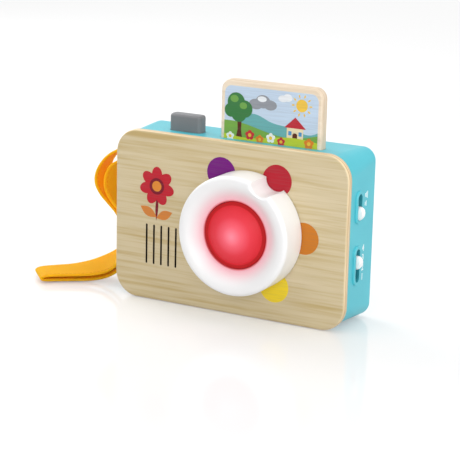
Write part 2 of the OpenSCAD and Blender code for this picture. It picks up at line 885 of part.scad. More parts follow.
module dial_hub() {
    color("#efefef")
    difference() {
        turned_front() polygon([
            [wire_hole_r, 0], [hub_r, 0], [hub_r, lip_low], [hub_lip_r, lip_low],
            [hub_lip_r, lip_top], [hub_neck_r, lip_top], [hub_neck_r, dome_seat],
            [hub_inner_r, dome_seat], [hub_inner_r, hub_floor], [wire_hole_r, hub_floor]
        ]);
        for (k = [0 : 2]) {
            hole = on_dial(k, 3, hub_screw_at, 90);
            rod_y(hole[0], hole[1], panel_front - hub_bite - bite_room, panel_front + over, screw_r + screw_gap);
        }
    }
}

module hub_screws() {
    color("silver")
    for (k = [0 : 2]) {
        hole = on_dial(k, 3, hub_screw_at, 90);
        rod_y(hole[0], hole[1], panel_front - hub_bite, panel_back - screw_head_h, screw_r);
        difference() {
            rod_y(hole[0], hole[1], panel_back - screw_head_h, panel_back, screw_head_r);
            cross_recess(hole[0], panel_back, hole[1]);
        }
    }
}

module selector_board() {
    color("#2f7d4f")
    turned_front() polygon([[hub_r + face_gap, 0], [contact_r, 0], [contact_r, contact_t],
        [hub_r + face_gap, contact_t]]);
}

// A sprung leaf under the carrier that touches the selector board
module selector_wiper() {
    color("goldenrod")
    forward(panel_front - contact_t - wiper_gap, carrier_low - contact_t - wiper_gap)
        translate([dial_x, dial_z]) rotate(notch_angle + 120) translate([(hub_r + contact_r) / 2, 0])
            square([wiper_l, wiper_w], center = true);
}

module lens_dome() {
    sphere_r = (pow(dome_r, 2) + pow(dome_rise, 2)) / (2 * dome_rise);
    inner_r = sphere_r - dome_wall;
    centre = dish_edge + dome_rise - sphere_r;
    rim = asin(dome_r / sphere_r);
    inner_rim = asin((dome_r - dome_wall) / inner_r);
    color("#e1414b")
    turned_front() polygon(concat(
        [[dome_flange_r, dome_seat], [dome_flange_r, dish_edge]],
        [for (i = [8 : -1 : 0]) [sphere_r * sin(rim * i / 8), centre + sphere_r * cos(rim * i / 8)]],
        [for (i = [0 : 8]) [inner_r * sin(inner_rim * i / 8), centre + inner_r * cos(inner_rim * i / 8)]],
        [[dome_r - dome_wall, dome_seat - dome_spigot], [hub_inner_r - dome_fit, dome_seat - dome_spigot],
            [hub_inner_r - dome_fit, dome_seat]]
    ));
}

module lamp_reflector() {
    low = hub_floor + lamp_board_t;
    high = dome_seat - reflector_down;
    hole = lamp_r + reflector_hole;
    rim = hub_inner_r - reflector_gap;
    color("white")
    turned_front() polygon([[hole, low], [hole + reflector_t, low], [rim, high - reflector_t],
        [rim, high], [rim - reflector_t, high]]);
}

module lamp_board() {
    color("#2f7d4f")
    turned_front() translate([0, hub_floor]) square([lamp_board_r, lamp_board_t]);
}

module lamp() {
    low = hub_floor + lamp_board_t;
    color("#ffd0d0")
    turned_front() polygon(concat(
        [[0, low], [lamp_r, low]],
        [for (a = [0 : 15 : 90]) [lamp_r * cos(a), low + lamp_h - lamp_r + lamp_r * sin(a)]]
    ));
}

module speaker_gasket() {
    color("#303030")
    turned_back() translate([speaker_r - gasket_w, 0]) square([gasket_w, gasket_t]);
}

module speaker_basket() {
    t = gasket_t;
    deep = t + basket_d;
    seat_r = speaker_r - gasket_w;
    mouth_r = magnet_r - basket_mouth;
    color("#9a9fa3")
    turned_back() polygon([[seat_r, t], [speaker_r, t], [speaker_r, t + basket_t],
        [seat_r + basket_sheet, t + basket_t], [magnet_r, deep], [mouth_r, deep],
        [mouth_r, deep - basket_sheet], [magnet_r - basket_step, deep - basket_sheet],
        [seat_r, t + basket_t - basket_lip]]);
}

module speaker_cone() {
    t = gasket_t;
    edge_r = speaker_r - gasket_w;
    color("#1d1d1d")
    turned_back() polygon([[0, t + cap_low], [cap_r, t + cap_mid], [coil_r, t + coil_low],
        [edge_r - cone_step, t + cone_step], [edge_r - cone_gap, t + cone_lip],
        [edge_r - cone_gap, t + cone_rim], [coil_r, t + coil_high], [cap_r, t + coil_high],
        [0, t + cap_high]]);
}

module speaker_magnet() {
    t = gasket_t + basket_d;
    r = magnet_r - magnet_gap;
    color("#55585b")
    turned_back() polygon([[0, t], [r, t], [r, t + magnet_d - magnet_bevel],
        [r - magnet_bevel, t + magnet_d], [0, t + magnet_d]]);
}

module speaker_screws() {
    seat = panel_back + gasket_t + basket_t;
    color("silver")
    for (k = [0 : 2]) {
        hole = on_speaker(k, 3, speaker_screw_at);
        rod_y(hole[0], hole[1], panel_back - speaker_bite, seat, screw_r);
        difference() {
            rod_y(hole[0], hole[1], seat, seat + screw_head_h, screw_head_r);
            cross_recess(hole[0], seat + screw_head_h, hole[1]);
        }
    }
}

module picture_board() {
    color("#e2d0a8")
    difference() {
        translate([board_x, board_y, board_low + board_h / 2])
            soft_slab(board_w, board_h, board_corner_r, board_t, board_edge_r);
        for (x = [-1, 1])
            stop_pin(x, screw_gap);
    }
}

// A pin in the board's edge near its foot
module stop_pin(x, gap) {
    edge = board_w / 2;
    rod_x(board_y, board_low + pin_up + board_corner_r, board_x + (x > 0 ? edge - pin_in : -edge - pin_out),
        board_x + (x > 0 ? edge + pin_out : -edge + pin_in), pin_r + gap);
}

module stop_pins() {
    color("silver")
    for (x = [-1, 1])
        stop_pin(x, 0);
}

// Two rails and a foot, with lugs behind the board that are screwed to the shell's bosses
module picture_cradle() {
    pin_z = board_low + pin_up + board_corner_r;
    color("#d8dde0")
    difference() {
        union() {
            for (x = [-1, 1]) {
                block([board_x + (x > 0 ? rail_in_x : -rail_out_x), rail_front, rail_low],
                    [board_x + (x > 0 ? rail_out_x : -rail_in_x), rail_back, inner_top]);
                for (z = lug_rise)
                    block([board_x + (x > 0 ? rail_in_x - lug_w : -rail_in_x - rail_lap), lug_front,
                            z - lug_h / 2],
                        [board_x + (x > 0 ? rail_in_x + rail_lap : -rail_in_x + lug_w), lug_back,
                            z + lug_h / 2]);
            }
            block([board_x - rail_out_x, rail_front, rail_low],
                [board_x + rail_out_x, rail_back, rail_low + rail_out]);
        }
        block([board_x - board_w / 2 - board_gap, board_front - board_gap, rail_low + rail_out],
            [board_x + board_w / 2 + board_gap, lug_front, inner_top + over]);
        for (x = [-1, 1])
            block([board_x + x * board_w / 2 - pin_out - board_gap, board_y - pin_r - face_gap,
                    rail_low + rail_out],
                [board_x + x * board_w / 2 + pin_out + board_gap, board_y + pin_r + face_gap,
                    pin_z + pin_r + face_gap]);
        for (x = [-1, 1], z = lug_rise) {
            rod_y(board_x + x * lug_x, z, lug_front - over, lug_back + over, small_r + screw_gap);
            rod_y(board_x + x * lug_x, z, lug_front - over, lug_front + small_head_h,
                small_head_r + lug_head_gap);
        }
    }
}

module cradle_screws() {
    seat = lug_front + small_head_h;
    color("silver")
    for (x = [-1, 1], z = lug_rise) {
        rod_y(board_x + x * lug_x, z, seat, lug_back + lug_bite, small_r);
        rod_y(board_x + x * lug_x, z, lug_front, seat, small_head_r);
    }
}

// Felt pads on the shell side of the board's slot that hold the board where it is put
module brake_pads() {
    color("#4a4a4a")
    for (x = [-1, 1])
        block([board_x + x * (rail_in_x + rail_lap / 2) - rail_lap / 2, board_front + board_t + pad_gap,
                inner_top - pad_h - pad_down],
            [board_x + x * (rail_in_x + rail_lap / 2) + rail_lap / 2, lug_front, inner_top - pad_down]);
}

module shutter_button() {
    color("#73787b")
    union() {
        translate([button_x, button_y, 0])
            hull()
                for (a = edge_steps) {
                    step = button_edge_r * (1 - cos(a));
                    translate([0, 0, flange_top - fuse])
                        linear_extrude(button_top - flange_top + fuse - button_edge_r * (1 - sin(a)))
                            rounded_rect(button_w - 2 * step, button_d - 2 * step, button_r - step, hull_fn);
                }
        translate([button_x, button_y, flange_low])
            linear_extrude(flange_t)
                rounded_rect(button_w + 2 * flange_lap, button_d + 2 * flange_lap, button_r + flange_lap);
        block([button_x - press_can / 2, button_y - press_can / 2 + stem_thin, stem_low],
            [button_x + press_can / 2, button_y + press_can / 2 - stem_thin, flange_low + fuse]);
    }
}

// The middle line of a spring, from its low end to its high end
function spring_line() = [
    for (i = [0 : spring_curls * spring_rings])
        [spring_r * cos(i * 360 / spring_rings), spring_r * sin(i * 360 / spring_rings),
            spring_low + (spring_high - spring_low) * i / (spring_curls * spring_rings)]
];

module shutter_springs() {
    line = spring_line();
    pitch_gap = (spring_high - spring_low) / spring_curls - spring_wire;
    echo(str("least gap between curls of a shutter spring, mm: ", pitch_gap));
    rings = [
        for (i = [0 : len(line) - 1])
            wire_ring(line[i], heading(line, i), spring_wire / 2, spring_sides, [0, 0, 1])
    ];
    color("silver")
    for (x = [-1, 1])
        translate([button_x + x * spring_at, button_y, 0]) skin_rings(rings);
}

module shutter_board() {
    color("#2f7d4f")
    block([button_x - button_w / 2 - press_board_side, button_y - button_d / 2 - press_board_front, shelf_top],
        [button_x + button_w / 2 + press_board_side, button_y + button_d / 2 + press_board_back, press_floor]);
}

module shutter_switch() {
    color("#3a3d40")
    union() {
        block([button_x - press_can / 2, button_y - press_can / 2, press_floor],
            [button_x + press_can / 2, button_y + press_can / 2, press_floor + press_can_h]);
        translate([button_x, button_y, press_floor + press_can_h - fuse])
            cylinder(r = press_tip_r, h = press_tip_h + fuse);
    }
}

// A knob with a round back, its neck in the slot and the carriage inside
module side_knob(z) {
    color("#f6f6f6")
    union() {
        intersection() {
            translate([knob_end - knob_round, switch_y, z]) rotate([90, 0, 0])
                cylinder(r = knob_round, h = knob_w + over, center = true, $fn = 96);
            rightward(carriage_out - fuse, knob_end - carriage_out + over)
                translate([switch_y, z]) stadium(knob_w, knob_l);
        }
        block([carriage_in, switch_y - carriage_w / 2, z - knob_l / 2 - carriage_over],
            [carriage_out, switch_y + carriage_w / 2, z + knob_l / 2 + carriage_over]);
        block([carriage_in - prong_l, switch_y - prong_w / 2, z - prong_w / 2],
            [carriage_in + fuse, switch_y + prong_w / 2, z + prong_w / 2]);
    }
}

// A switch can with the slot that the knob's prong runs in
module side_switch(z, travel) {
    color("#b9bec2")
    difference() {
        block([can_back, switch_y - can_w / 2, z - travel / 2 - can_end],
            [can_face, switch_y + can_w / 2, z + travel / 2 + can_end]);
        block([carriage_in - prong_l - face_gap, switch_y - prong_w / 2 - face_gap,
                z - travel / 2 - prong_w / 2 - face_gap],
            [can_face + over, switch_y + prong_w / 2 + face_gap, z + travel / 2 + prong_w / 2 + face_gap]);
    }
}

module volume_knob() {
    side_knob(volume_knob_z);
}

module volume_switch() {
    side_switch(volume_z, volume_travel);
}

module mode_knob() {
    side_knob(mode_knob_z);
}

module mode_switch() {
    side_switch(mode_z, mode_travel);
}

module side_board() {
    color("#2f7d4f")
    difference() {
        block([can_back - side_board_t, side_board_front, side_board_low],
            [can_back, side_board_back, side_board_high]);
        for (z = side_post_z)
            rod_x(side_post_y, z, can_back - side_board_t - over, can_back + over, small_r + screw_gap);
    }
}

module side_screws() {
    seat = can_back - side_board_t;
    color("silver")
    for (z = side_post_z) {
        rod_x(side_post_y, z, seat, can_back + side_bite, small_r);
        rod_x(side_post_y, z, seat - small_head_h, seat, small_head_r);
    }
}

module main_board() {
    color("#2f7d4f")
    difference() {
        block([main_x - main_w / 2, main_front, main_z - main_h / 2],
            [main_x + main_w / 2, main_back, main_z + main_h / 2]);
        for (x = [-1, 1], z = [-1, 1])
            rod_y(main_x + x * main_screw_x, main_z + z * main_screw_z, main_front - over, main_back + over,
                small_r + screw_gap);
    }
}

module sound_chip() {
    color("#262626")
    block([main_x - chip_w, main_front - chip_t, main_z - chip_w / 2],
        [main_x, main_front, main_z + chip_w / 2]);
}

// The two sockets on the main board that the leads are pushed into
module lead_sockets() {
    color("#e8e2d0")
    for (z = [-1, 1])
        block([main_x + socket_out, main_front - socket_d, main_z + z * socket_rise - socket_h / 2],
            [main_x + socket_out + socket_w, main_front, main_z + z * socket_rise + socket_h / 2]);
}

module main_screws() {
    color("silver")
    for (x = [-1, 1], z = [-1, 1]) {
        px = main_x + x * main_screw_x;
        pz = main_z + z * main_screw_z;
        rod_y(px, pz, main_front, main_back + main_bite, small_r);
        rod_y(px, pz, main_front - small_head_h, main_front, small_head_r);
    }
}

// A lead along a route, as one tube
module lead(route) {
    line = smooth(route, 3);
    skin_rings([
        for (i = [0 : len(line) - 1])
            wire_ring(line[i], heading(line, i), lead_r, lead_sides, [1, 1, 3])
    ]);
}

module leads() {
    socket_x = main_x + socket_out + socket_w / 2;
    magnet_back = panel_back + gasket_t + basket_d + magnet_d;
    high = main_z + socket_rise;
    low = main_z - socket_rise;
    tab_z = speaker_z - 4;
    color("#b03030")
    for (k = [-1, 1])
        translate([0, 0, k * lead_gap / 2]) {
            lead([
                [socket_x, lead_start_y, high], [socket_x, lead_start_y - 3, high],
                [socket_x + 8, panel_back + 12, high], [dial_x - 18, panel_back + 4, dial_z - 5],
                [dial_x - 5, panel_back + 3, dial_z - 1], [dial_x, panel_back + 1, dial_z],
                [dial_x, panel_front, dial_z], [dial_x, panel_front - hub_floor + lead_end_gap, dial_z]
            ]);
            lead([
                [socket_x, lead_start_y, low], [socket_x, lead_start_y - 3, low],
                [socket_x - 6, magnet_back + 4, low], [speaker_x, magnet_back + 3, tab_z],
                [speaker_x, magnet_back + 2, tab_z], [speaker_x, magnet_back + lead_end_gap, tab_z]
            ]);
        }
}

module battery_cells() {
    color("#3f6fb0")
    for (i = [0 : cell_count - 1])
        translate([well_x, cell_y, well_z + (i - (cell_count - 1) / 2) * cell_pitch]) {
            rotate([0, 90, 0]) cylinder(d = cell_d, h = cell_l - 2 * cell_tip_h, center = true);
            rotate([0, (i % 2 == 0) ? 90 : -90, 0]) cylinder(r = cell_tip_r, h = cell_l / 2);
        }
}

module battery_contacts() {
    color("goldenrod")
    for (i = [0 : cell_count - 1], x = [-1, 1])
        translate([well_x + x * (well_l / 2), cell_y, well_z + (i - (cell_count - 1) / 2) * cell_pitch]) {
            translate([-x * contact_sheet / 2, 0, 0])
                cube([contact_sheet, contact_plate, contact_plate], center = true);
            rotate([0, -x * 90, 0]) cylinder(r = contact_coil_r, h = contact_sheet + contact_reach);
        }
}

module battery_door() {
    color("#76c8d4")
    difference() {
        translate([well_x, 0, well_z])
            forward(shell_back, door_t) rounded_rect(door_w, door_h, door_r);
        for (x = [-1, 1]) {
            rod_y(well_x + x * door_screw_x, well_z, door_face - over, shell_back + over,
                small_r + door_hole_gap);
            rod_y(well_x + x * door_screw_x, well_z, shell_back - door_head_h, shell_back + over,
                small_head_r + door_head_gap);
        }
        for (i = [0 : groove_count - 1])
            translate([well_x + (i - (groove_count - 1) / 2) * groove_pitch, 0, well_z])
                forward(shell_back + over, groove_deep + over) stadium(groove_w, groove_l);
    }
}

module door_screws() {
    color("silver")
    for (x = [-1, 1]) {
        px = well_x + x * door_screw_x;
        rod_y(px, well_z, door_face - door_bite + door_bite_room, shell_back - door_head_h, small_r);
        difference() {
            rod_y(px, well_z, shell_back - door_head_h, shell_back, small_head_r);
            translate([px, shell_back, well_z]) cube([recess_l, door_head_h, recess_w], center = true);
        }
    }
}

module strap_bar() {
    color("silver")
    rod_y(bar_x, bar_z, bar_y - bar_reach, bar_y + bar_reach, bar_r);
}

module wrist_strap() {
    line = smooth(strap_route, strap_ring_steps);
    color("#f0a019")
    skin_rings([for (i = [0 : len(line) - 1]) strap_ring(line[i], heading(line, i))]);
}

front_panel();
rear_shell();
rear_feet();
case_screws();
dial_ring();
dial_carrier();
carrier_screws();
dial_hub();
hub_screws();
selector_board();
selector_wiper();
lens_dome();
lamp_reflector();
lamp_board();
lamp();
speaker_gasket();
speaker_basket();
speaker_cone();
speaker_magnet();
speaker_screws();
picture_board();
picture_cradle();
cradle_screws();
stop_pins();
brake_pads();
shutter_button();
shutter_springs();
shutter_switch();
shutter_board();
volume_knob();
volume_switch();
mode_knob();
mode_switch();
side_board();
side_screws();
main_board();
sound_chip();
lead_sockets();
main_screws();
leads();
battery_cells();
battery_contacts();
battery_door();
door_screws();
strap_bar();
wrist_strap();
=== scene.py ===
"""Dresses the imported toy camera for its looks.

Sizes are in millimetres in the part's own frame: X to the right, Y to the back, Z up, with the origin
at the middle of the front panel's bottom edge. Meshes are made in metres, with each piece's place in
its mesh.
"""
import json
import logging
import math
from collections.abc import Callable, Sequence
from dataclasses import dataclass, field
from enum import Enum

import bmesh
import bpy
from mathutils import Matrix, Vector


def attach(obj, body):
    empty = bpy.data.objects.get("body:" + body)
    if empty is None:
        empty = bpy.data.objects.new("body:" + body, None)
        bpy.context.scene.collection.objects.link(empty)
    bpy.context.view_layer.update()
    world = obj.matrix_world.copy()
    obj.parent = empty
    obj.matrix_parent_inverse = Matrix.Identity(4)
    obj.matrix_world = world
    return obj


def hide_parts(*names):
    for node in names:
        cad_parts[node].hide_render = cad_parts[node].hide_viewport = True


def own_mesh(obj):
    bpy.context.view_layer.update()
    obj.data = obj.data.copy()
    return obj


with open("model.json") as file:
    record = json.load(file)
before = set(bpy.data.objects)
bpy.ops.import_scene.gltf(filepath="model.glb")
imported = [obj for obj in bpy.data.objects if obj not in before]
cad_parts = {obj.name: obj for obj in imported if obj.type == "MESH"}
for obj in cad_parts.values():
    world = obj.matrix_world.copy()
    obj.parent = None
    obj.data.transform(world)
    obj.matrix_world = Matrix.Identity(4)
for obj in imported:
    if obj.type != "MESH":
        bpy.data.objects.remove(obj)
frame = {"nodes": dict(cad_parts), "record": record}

log = logging.getLogger("toy_camera")

MM = 0.001
NEAR = 1e-3
SUNK = 0.02
TRIES = 4
SLACK = 1e-9
Point = tuple[float, float, float]
Flat = tuple[float, float]
Colour = tuple[float, float, float, float]
Piece = bpy.types.Object
Material = bpy.types.Material
Socket = bpy.types.NodeSocket
Value = float | Sequence[float] | Socket


class Body(Enum):
    """Bodies of the frame that the pieces ride on."""

    CASE = "body"
    DIAL = "dial"
    SHUTTER = "shutter"
    PICTURE = "picture"
    VOLUME = "volume"
    MODE = "mode"


class Join(Enum):
    """Ways to combine two solids."""

    ADD = "UNION"
    CUT = "DIFFERENCE"
    KEEP = "INTERSECT"


class Axis(Enum):
    """Axes of the part's frame, by their place in a point."""

    X = 0
    Y = 1
    Z = 2


class Face(Enum):
    """Faces that a print lies on, by the sign and axis of their outward direction."""

    FRONT = (-1, Axis.Y)
    RIGHT = (1, Axis.X)


def paint(red: int, green: int, blue: int) -> Colour:
    """Turns a screen colour into the linear colour that a shader takes.

    Args:
        red: Red, 0 to 255.
        green: Green, 0 to 255.
        blue: Blue, 0 to 255.

    Returns:
        The linear colour with full opacity.
    """
    shares = (red / 255, green / 255, blue / 255)
    linear = [s / 12.92 if s <= 0.04045 else ((s + 0.055) / 1.055) ** 2.4 for s in shares]
    return (linear[0], linear[1], linear[2], 1.0)


class Graph:
    """A material's node tree, with short calls for the nodes that the finishes share."""

    def __init__(self, name: str) -> None:
        """Starts a material with one surface shader.

        Args:
            name: Name of the material.
        """
        self.material = bpy.data.materials.new(name)
        self.material.use_nodes = True
        self.tree = self.material.node_tree
        self.tree.nodes.clear()
        end = self.tree.nodes.new("ShaderNodeOutputMaterial")
        self.shader = self.tree.nodes.new("ShaderNodeBsdfPrincipled")
        self.tree.links.new(self.shader.outputs[0], end.inputs["Surface"])
        self.coordinates = self.tree.nodes.new("ShaderNodeTexCoord")

    def feed(self, socket: Socket, value: Value) -> None:
        """Links an output to a socket, or sets a plain value on it.

        Args:
            socket: The input that takes the value.
            value: Another node's output, a number or a colour.
        """
        if isinstance(value, Socket):
            self.tree.links.new(value, socket)
        else:
            socket.default_value = value

    def surface(self, **values: Value) -> None:
        """Feeds the surface shader, with underscores for the spaces in its socket names."""
        for name, value in values.items():
            self.feed(self.shader.inputs[name.replace("_", " ")], value)

    def math(self, step: str, first: Value, second: Value = 0.0, third: Value = 0.0) -> Socket:
        """Adds a math node.

        Args:
            step: The node's operation.
            first: First value.
            second: Second value.
            third: Third value.

        Returns:
            The result's socket.
        """
        made = self.tree.nodes.new("ShaderNodeMath")
        made.operation = step
        for socket, value in zip(made.inputs, (first, second, third)):
            self.feed(socket, value)
        return made.outputs[0]

    def mix(self, share: Value, first: Value, second: Value) -> Socket:
        """Mixes two colours.

        Args:
            share: Share of the second colour.
            first: First colour.
            second: Second colour.

        Returns:
            The mixed colour's socket.
        """
        made = self.tree.nodes.new("ShaderNodeMix")
        made.data_type = "RGBA"
        for place, value in ((0, share), (6, first), (7, second)):
            self.feed(made.inputs[place], value)
        return made.outputs[2]

    def stretched(self, scale: Point, shift: Point = (0, 0, 0), source: str = "Object") -> Socket:
        """Scales and shifts the piece's coordinates.

        Args:
            scale: Factor along each axis.
            shift: Shift along each axis after the scaling.
            source: Name of the coordinate output.

        Returns:
            The vector's socket.
        """
        made = self.tree.nodes.new("ShaderNodeMapping")
        made.inputs["Scale"].default_value = scale
        made.inputs["Location"].default_value = shift
        self.tree.links.new(self.coordinates.outputs[source], made.inputs["Vector"])
        return made.outputs[0]

    def parts(self, vector: Socket) -> list[Socket]:
        """Splits a vector into its three numbers.

        Args:
            vector: The vector's socket.

        Returns:
            The sockets of X, Y and Z.
        """
        made = self.tree.nodes.new("ShaderNodeSeparateXYZ")
        self.tree.links.new(vector, made.inputs[0])
        return list(made.outputs)

    def noise(self, vector: Socket, scale: float = 1.0, detail: float = 2.0) -> Socket:
        """Adds a noise texture.

        Args:
            vector: Place in the texture.
            scale: Cells per unit of the vector.
            detail: Number of finer layers.

        Returns:
            The socket of its value, from 0 to 1.
        """
        made = self.tree.nodes.new("ShaderNodeTexNoise")
        self.tree.links.new(vector, made.inputs["Vector"])
        made.inputs["Scale"].default_value = scale
        made.inputs["Detail"].default_value = detail
        return made.outputs[0]

    def band(self, value: Value, low: float, high: float, start: float = 0.0, end: float = 1.0) -> Socket:
        """Maps a range smoothly to another one.

        Args:
            value: The value to map.
            low: Where the range starts.
            high: Where the range ends.
            start: Result at the start.
            end: Result at the end.

        Returns:
            The mapped value's socket.
        """
        made = self.tree.nodes.new("ShaderNodeMapRange")
        made.interpolation_type = "SMOOTHSTEP"
        for place, given in enumerate((value, low, high, start, end)):
            self.feed(made.inputs[place], given)
        return made.outputs[0]

    def ramp(self, value: Socket, stops: Sequence[tuple[float, Colour]]) -> Socket:
        """Maps a value to a row of colours.

        Args:
            value: The value, from 0 to 1.
            stops: Place and colour of each stop, in order.

        Returns:
            The colour's socket.
        """
        made = self.tree.nodes.new("ShaderNodeValToRGB")
        row = made.color_ramp.elements
        while len(row) < len(stops):
            row.new(1.0)
        for element, (place, colour) in zip(row, stops):
            element.position = place
            element.color = colour
        self.tree.links.new(value, made.inputs[0])
        return made.outputs[0]

    def relief(self, height: Socket, strength: float, deep_mm: float) -> None:
        """Bumps the surface.

        Args:
            height: The height's socket, from 0 to 1.
            strength: Share of the bump that shows.
            deep_mm: Depth of the full bump, in millimetres.
        """
        made = self.tree.nodes.new("ShaderNodeBump")
        made.inputs["Strength"].default_value = strength
        made.inputs["Distance"].default_value = deep_mm * MM
        self.tree.links.new(height, made.inputs["Height"])
        self.tree.links.new(made.outputs[0], self.shader.inputs["Normal"])

    def radius(self, centre: Flat) -> Socket:
        """Measures the distance from an axis along Y.

        Args:
            centre: X and Z of the axis, in millimetres.

        Returns:
            The distance's socket, in millimetres.
        """
        scale = 1 / MM
        x, _, z = self.parts(self.stretched((scale, scale, scale), (-centre[0], 0, -centre[1])))
        squares = self.math("ADD", self.math("MULTIPLY", x, x), self.math("MULTIPLY", z, z))
        return self.math("SQRT", squares)


@dataclass(frozen=True)
class WoodFinish:
    """Pale lacquered wood whose face shows a long grain and whose edges show plies."""

    name: str
    middle_y: float
    line_at: float
    face: Colour = paint(208, 191, 152)
    streak: Colour = paint(190, 165, 110)
    pale: Colour = paint(216, 200, 166)
    edge: Colour = paint(234, 212, 172)
    edge_streak: Colour = paint(212, 186, 143)
    glue: Colour = paint(196, 152, 102)
    streak_scale: Point = (12, 4, 330)
    fibre_scale: Point = (26, 30, 900)
    cloud_scale: Point = (9, 9, 30)
    ply_scale: Point = (40, 1400, 40)
    streak_share: float = 0.72
    line_half: Flat = (0.2, 0.55)

    def face_colour(self, graph: Graph, fibres: Socket) -> Socket:
        """Colours the face with long streaks and fine fibres.

        Args:
            graph: The wood's node tree.
            fibres: The fibres' value.

        Returns:
            The colour's socket.
        """
        streaks = graph.noise(graph.stretched(self.streak_scale), detail=4)
        clouds = graph.noise(graph.stretched(self.cloud_scale), detail=1)
        value = graph.math(
            "ADD", graph.math("MULTIPLY", streaks, self.streak_share),
            graph.math("MULTIPLY", clouds, 1 - self.streak_share),
        )
        face = graph.ramp(value, [(0.34, self.streak), (0.49, self.face), (0.65, self.pale)])
        return graph.mix(graph.band(fibres, 0.48, 0.75, 0.0, 0.45), face, self.streak)

    def edge_colour(self, graph: Graph) -> Socket:
        """Colours the edges with plies and two lines of glue.

        Args:
            graph: The wood's node tree.

        Returns:
            The colour's socket.
        """
        _, y, _ = graph.parts(graph.coordinates.outputs["Object"])
        off = graph.math("ABSOLUTE", graph.math("SUBTRACT", y, self.middle_y * MM))
        from_line = graph.math("ABSOLUTE", graph.math("SUBTRACT", off, self.line_at * MM))
        line = graph.band(from_line, self.line_half[0] * MM, self.line_half[1] * MM, 0.75, 0.0)
        layers = graph.noise(graph.stretched(self.ply_scale), detail=2)
        edge = graph.mix(graph.band(layers, 0.4, 0.7), self.edge, self.edge_streak)
        return graph.mix(line, edge, self.glue)

    def material(self) -> Material:
        """Builds the wood's material.

        Returns:
            The material.
        """
        graph = Graph(self.name)
        fibres = graph.noise(graph.stretched(self.fibre_scale), detail=3)
        _, facing, _ = graph.parts(graph.coordinates.outputs["Normal"])
        on_face = graph.band(graph.math("ABSOLUTE", facing), 0.72, 0.93)
        graph.surface(
            Base_Color=graph.mix(on_face, self.edge_colour(graph), self.face_colour(graph, fibres)),
            Roughness=graph.band(fibres, 0.2, 0.8, 0.4, 0.52),
            Coat_Weight=0.12,
            Coat_Roughness=0.3,
        )
        graph.relief(fibres, 0.12, 0.12)
        return graph.material


@dataclass(frozen=True)
class MouldedFinish:
    """Moulded plastic, rubber or paint with a fine grain and a slight drift of colour."""

    name: str
    colour: Colour
    drift: Colour
    rough: Flat = (0.34, 0.44)
    grain: float = 1800.0
    bump: float = 0.08
    coat: float = 0.0
    metal: float = 0.0

    def material(self) -> Material:
        """Builds the moulded material.

        Returns:
            The material.
        """
        graph = Graph(self.name)
        place = graph.coordinates.outputs["Object"]
        flow = graph.noise(place, 38, 2)
        grain = graph.noise(place, self.grain, 2)
        graph.surface(
            Base_Color=graph.mix(graph.band(flow, 0.3, 0.7), self.colour, self.drift),
            Roughness=graph.band(grain, 0.3, 0.7, *self.rough),
            Metallic=self.metal,
            Coat_Weight=self.coat,
            Coat_Roughness=0.2,
        )
        graph.relief(grain, self.bump, 0.1)
        return graph.material


@dataclass(frozen=True)
class DialFinish:
    """White plastic with the dome lamp's rosy light painted on it: a painted rose glow that turns red at
    the bore, and a faint emission of its own.
    """

    name: str
    centre: Flat
    white: Colour = paint(244, 244, 244)
    drift: Colour = paint(240, 240, 241)
    # The next two colours are painted light from the dome: a rosy glow, red nearest the bore.
    rose: Colour = paint(243, 176, 188)
    rim: Colour = paint(214, 44, 56)
    glow: float = 0.05
    glow_reach: Flat = (19.0, 29.5)
    rim_reach: Flat = (19.5, 20.8)

    def material(self) -> Material:
        """Builds the dial's material.

        Returns:
            The material.
        """
        graph = Graph(self.name)
        place = graph.coordinates.outputs["Object"]
        grain = graph.noise(place, 1500, 2)
        base = graph.mix(graph.noise(place, 30, 1), self.white, self.drift)
        away = graph.radius(self.centre)
        # Painted light: towards the bore the white is mixed into the dome's painted glow, and the dial gets
        # a faint emission of its own.
        near = graph.band(away, *self.glow_reach, 1.0, 0.0)
        painted_glow_tint = graph.mix(graph.band(away, *self.rim_reach), self.rim, self.rose)
        graph.surface(
            Base_Color=graph.mix(graph.math("POWER", near, 1.5), base, painted_glow_tint),
            Roughness=graph.band(grain, 0.3, 0.7, 0.32, 0.4),
            Emission_Color=self.rose,
            Emission_Strength=graph.math("MULTIPLY", near, self.glow),
            Coat_Weight=0.15,
            Coat_Roughness=0.22,
        )
        graph.relief(grain, 0.05, 0.1)
        return graph.material


@dataclass(frozen=True)
class DomeFinish:
    """Red translucent plastic lit from inside, with the inner lamp's light painted into its colour and
    given as a glow: brightest in the middle and dark at its flange.
    """

    name: str
    centre: Flat
    reach: float
    middle: Colour = paint(234, 130, 146)
    halo: Colour = paint(226, 88, 104)
    field: Colour = paint(216, 52, 66)
    edge: Colour = paint(208, 34, 46)
    flange: Colour = paint(172, 12, 18)
    light: float = 0.3

    def material(self) -> Material:
        """Builds the dome's material.

        Returns:
            The material.
        """
        graph = Graph(self.name)
        place = graph.coordinates.outputs["Object"]
        share = graph.math("DIVIDE", graph.radius(self.centre), self.reach)
        # Painted light: the ramp paints the inner lamp's light, pale in the middle and deeper red outwards.
        colour = graph.ramp(
            share,
            [(0.0, self.middle), (0.3, self.halo), (0.58, self.field), (0.87, self.edge),
             (0.905, self.flange), (1.0, self.flange)],
        )
        frost = graph.noise(place, 900, 3)
        graph.surface(
            Base_Color=colour,
            Emission_Color=colour,
            Emission_Strength=graph.band(share, 0.0, 0.86, self.light, 0.16),
            Roughness=graph.band(frost, 0.3, 0.7, 0.45, 0.55),
            Specular_IOR_Level=0.25,
        )
        graph.relief(frost, 0.05, 0.1)
        return graph.material


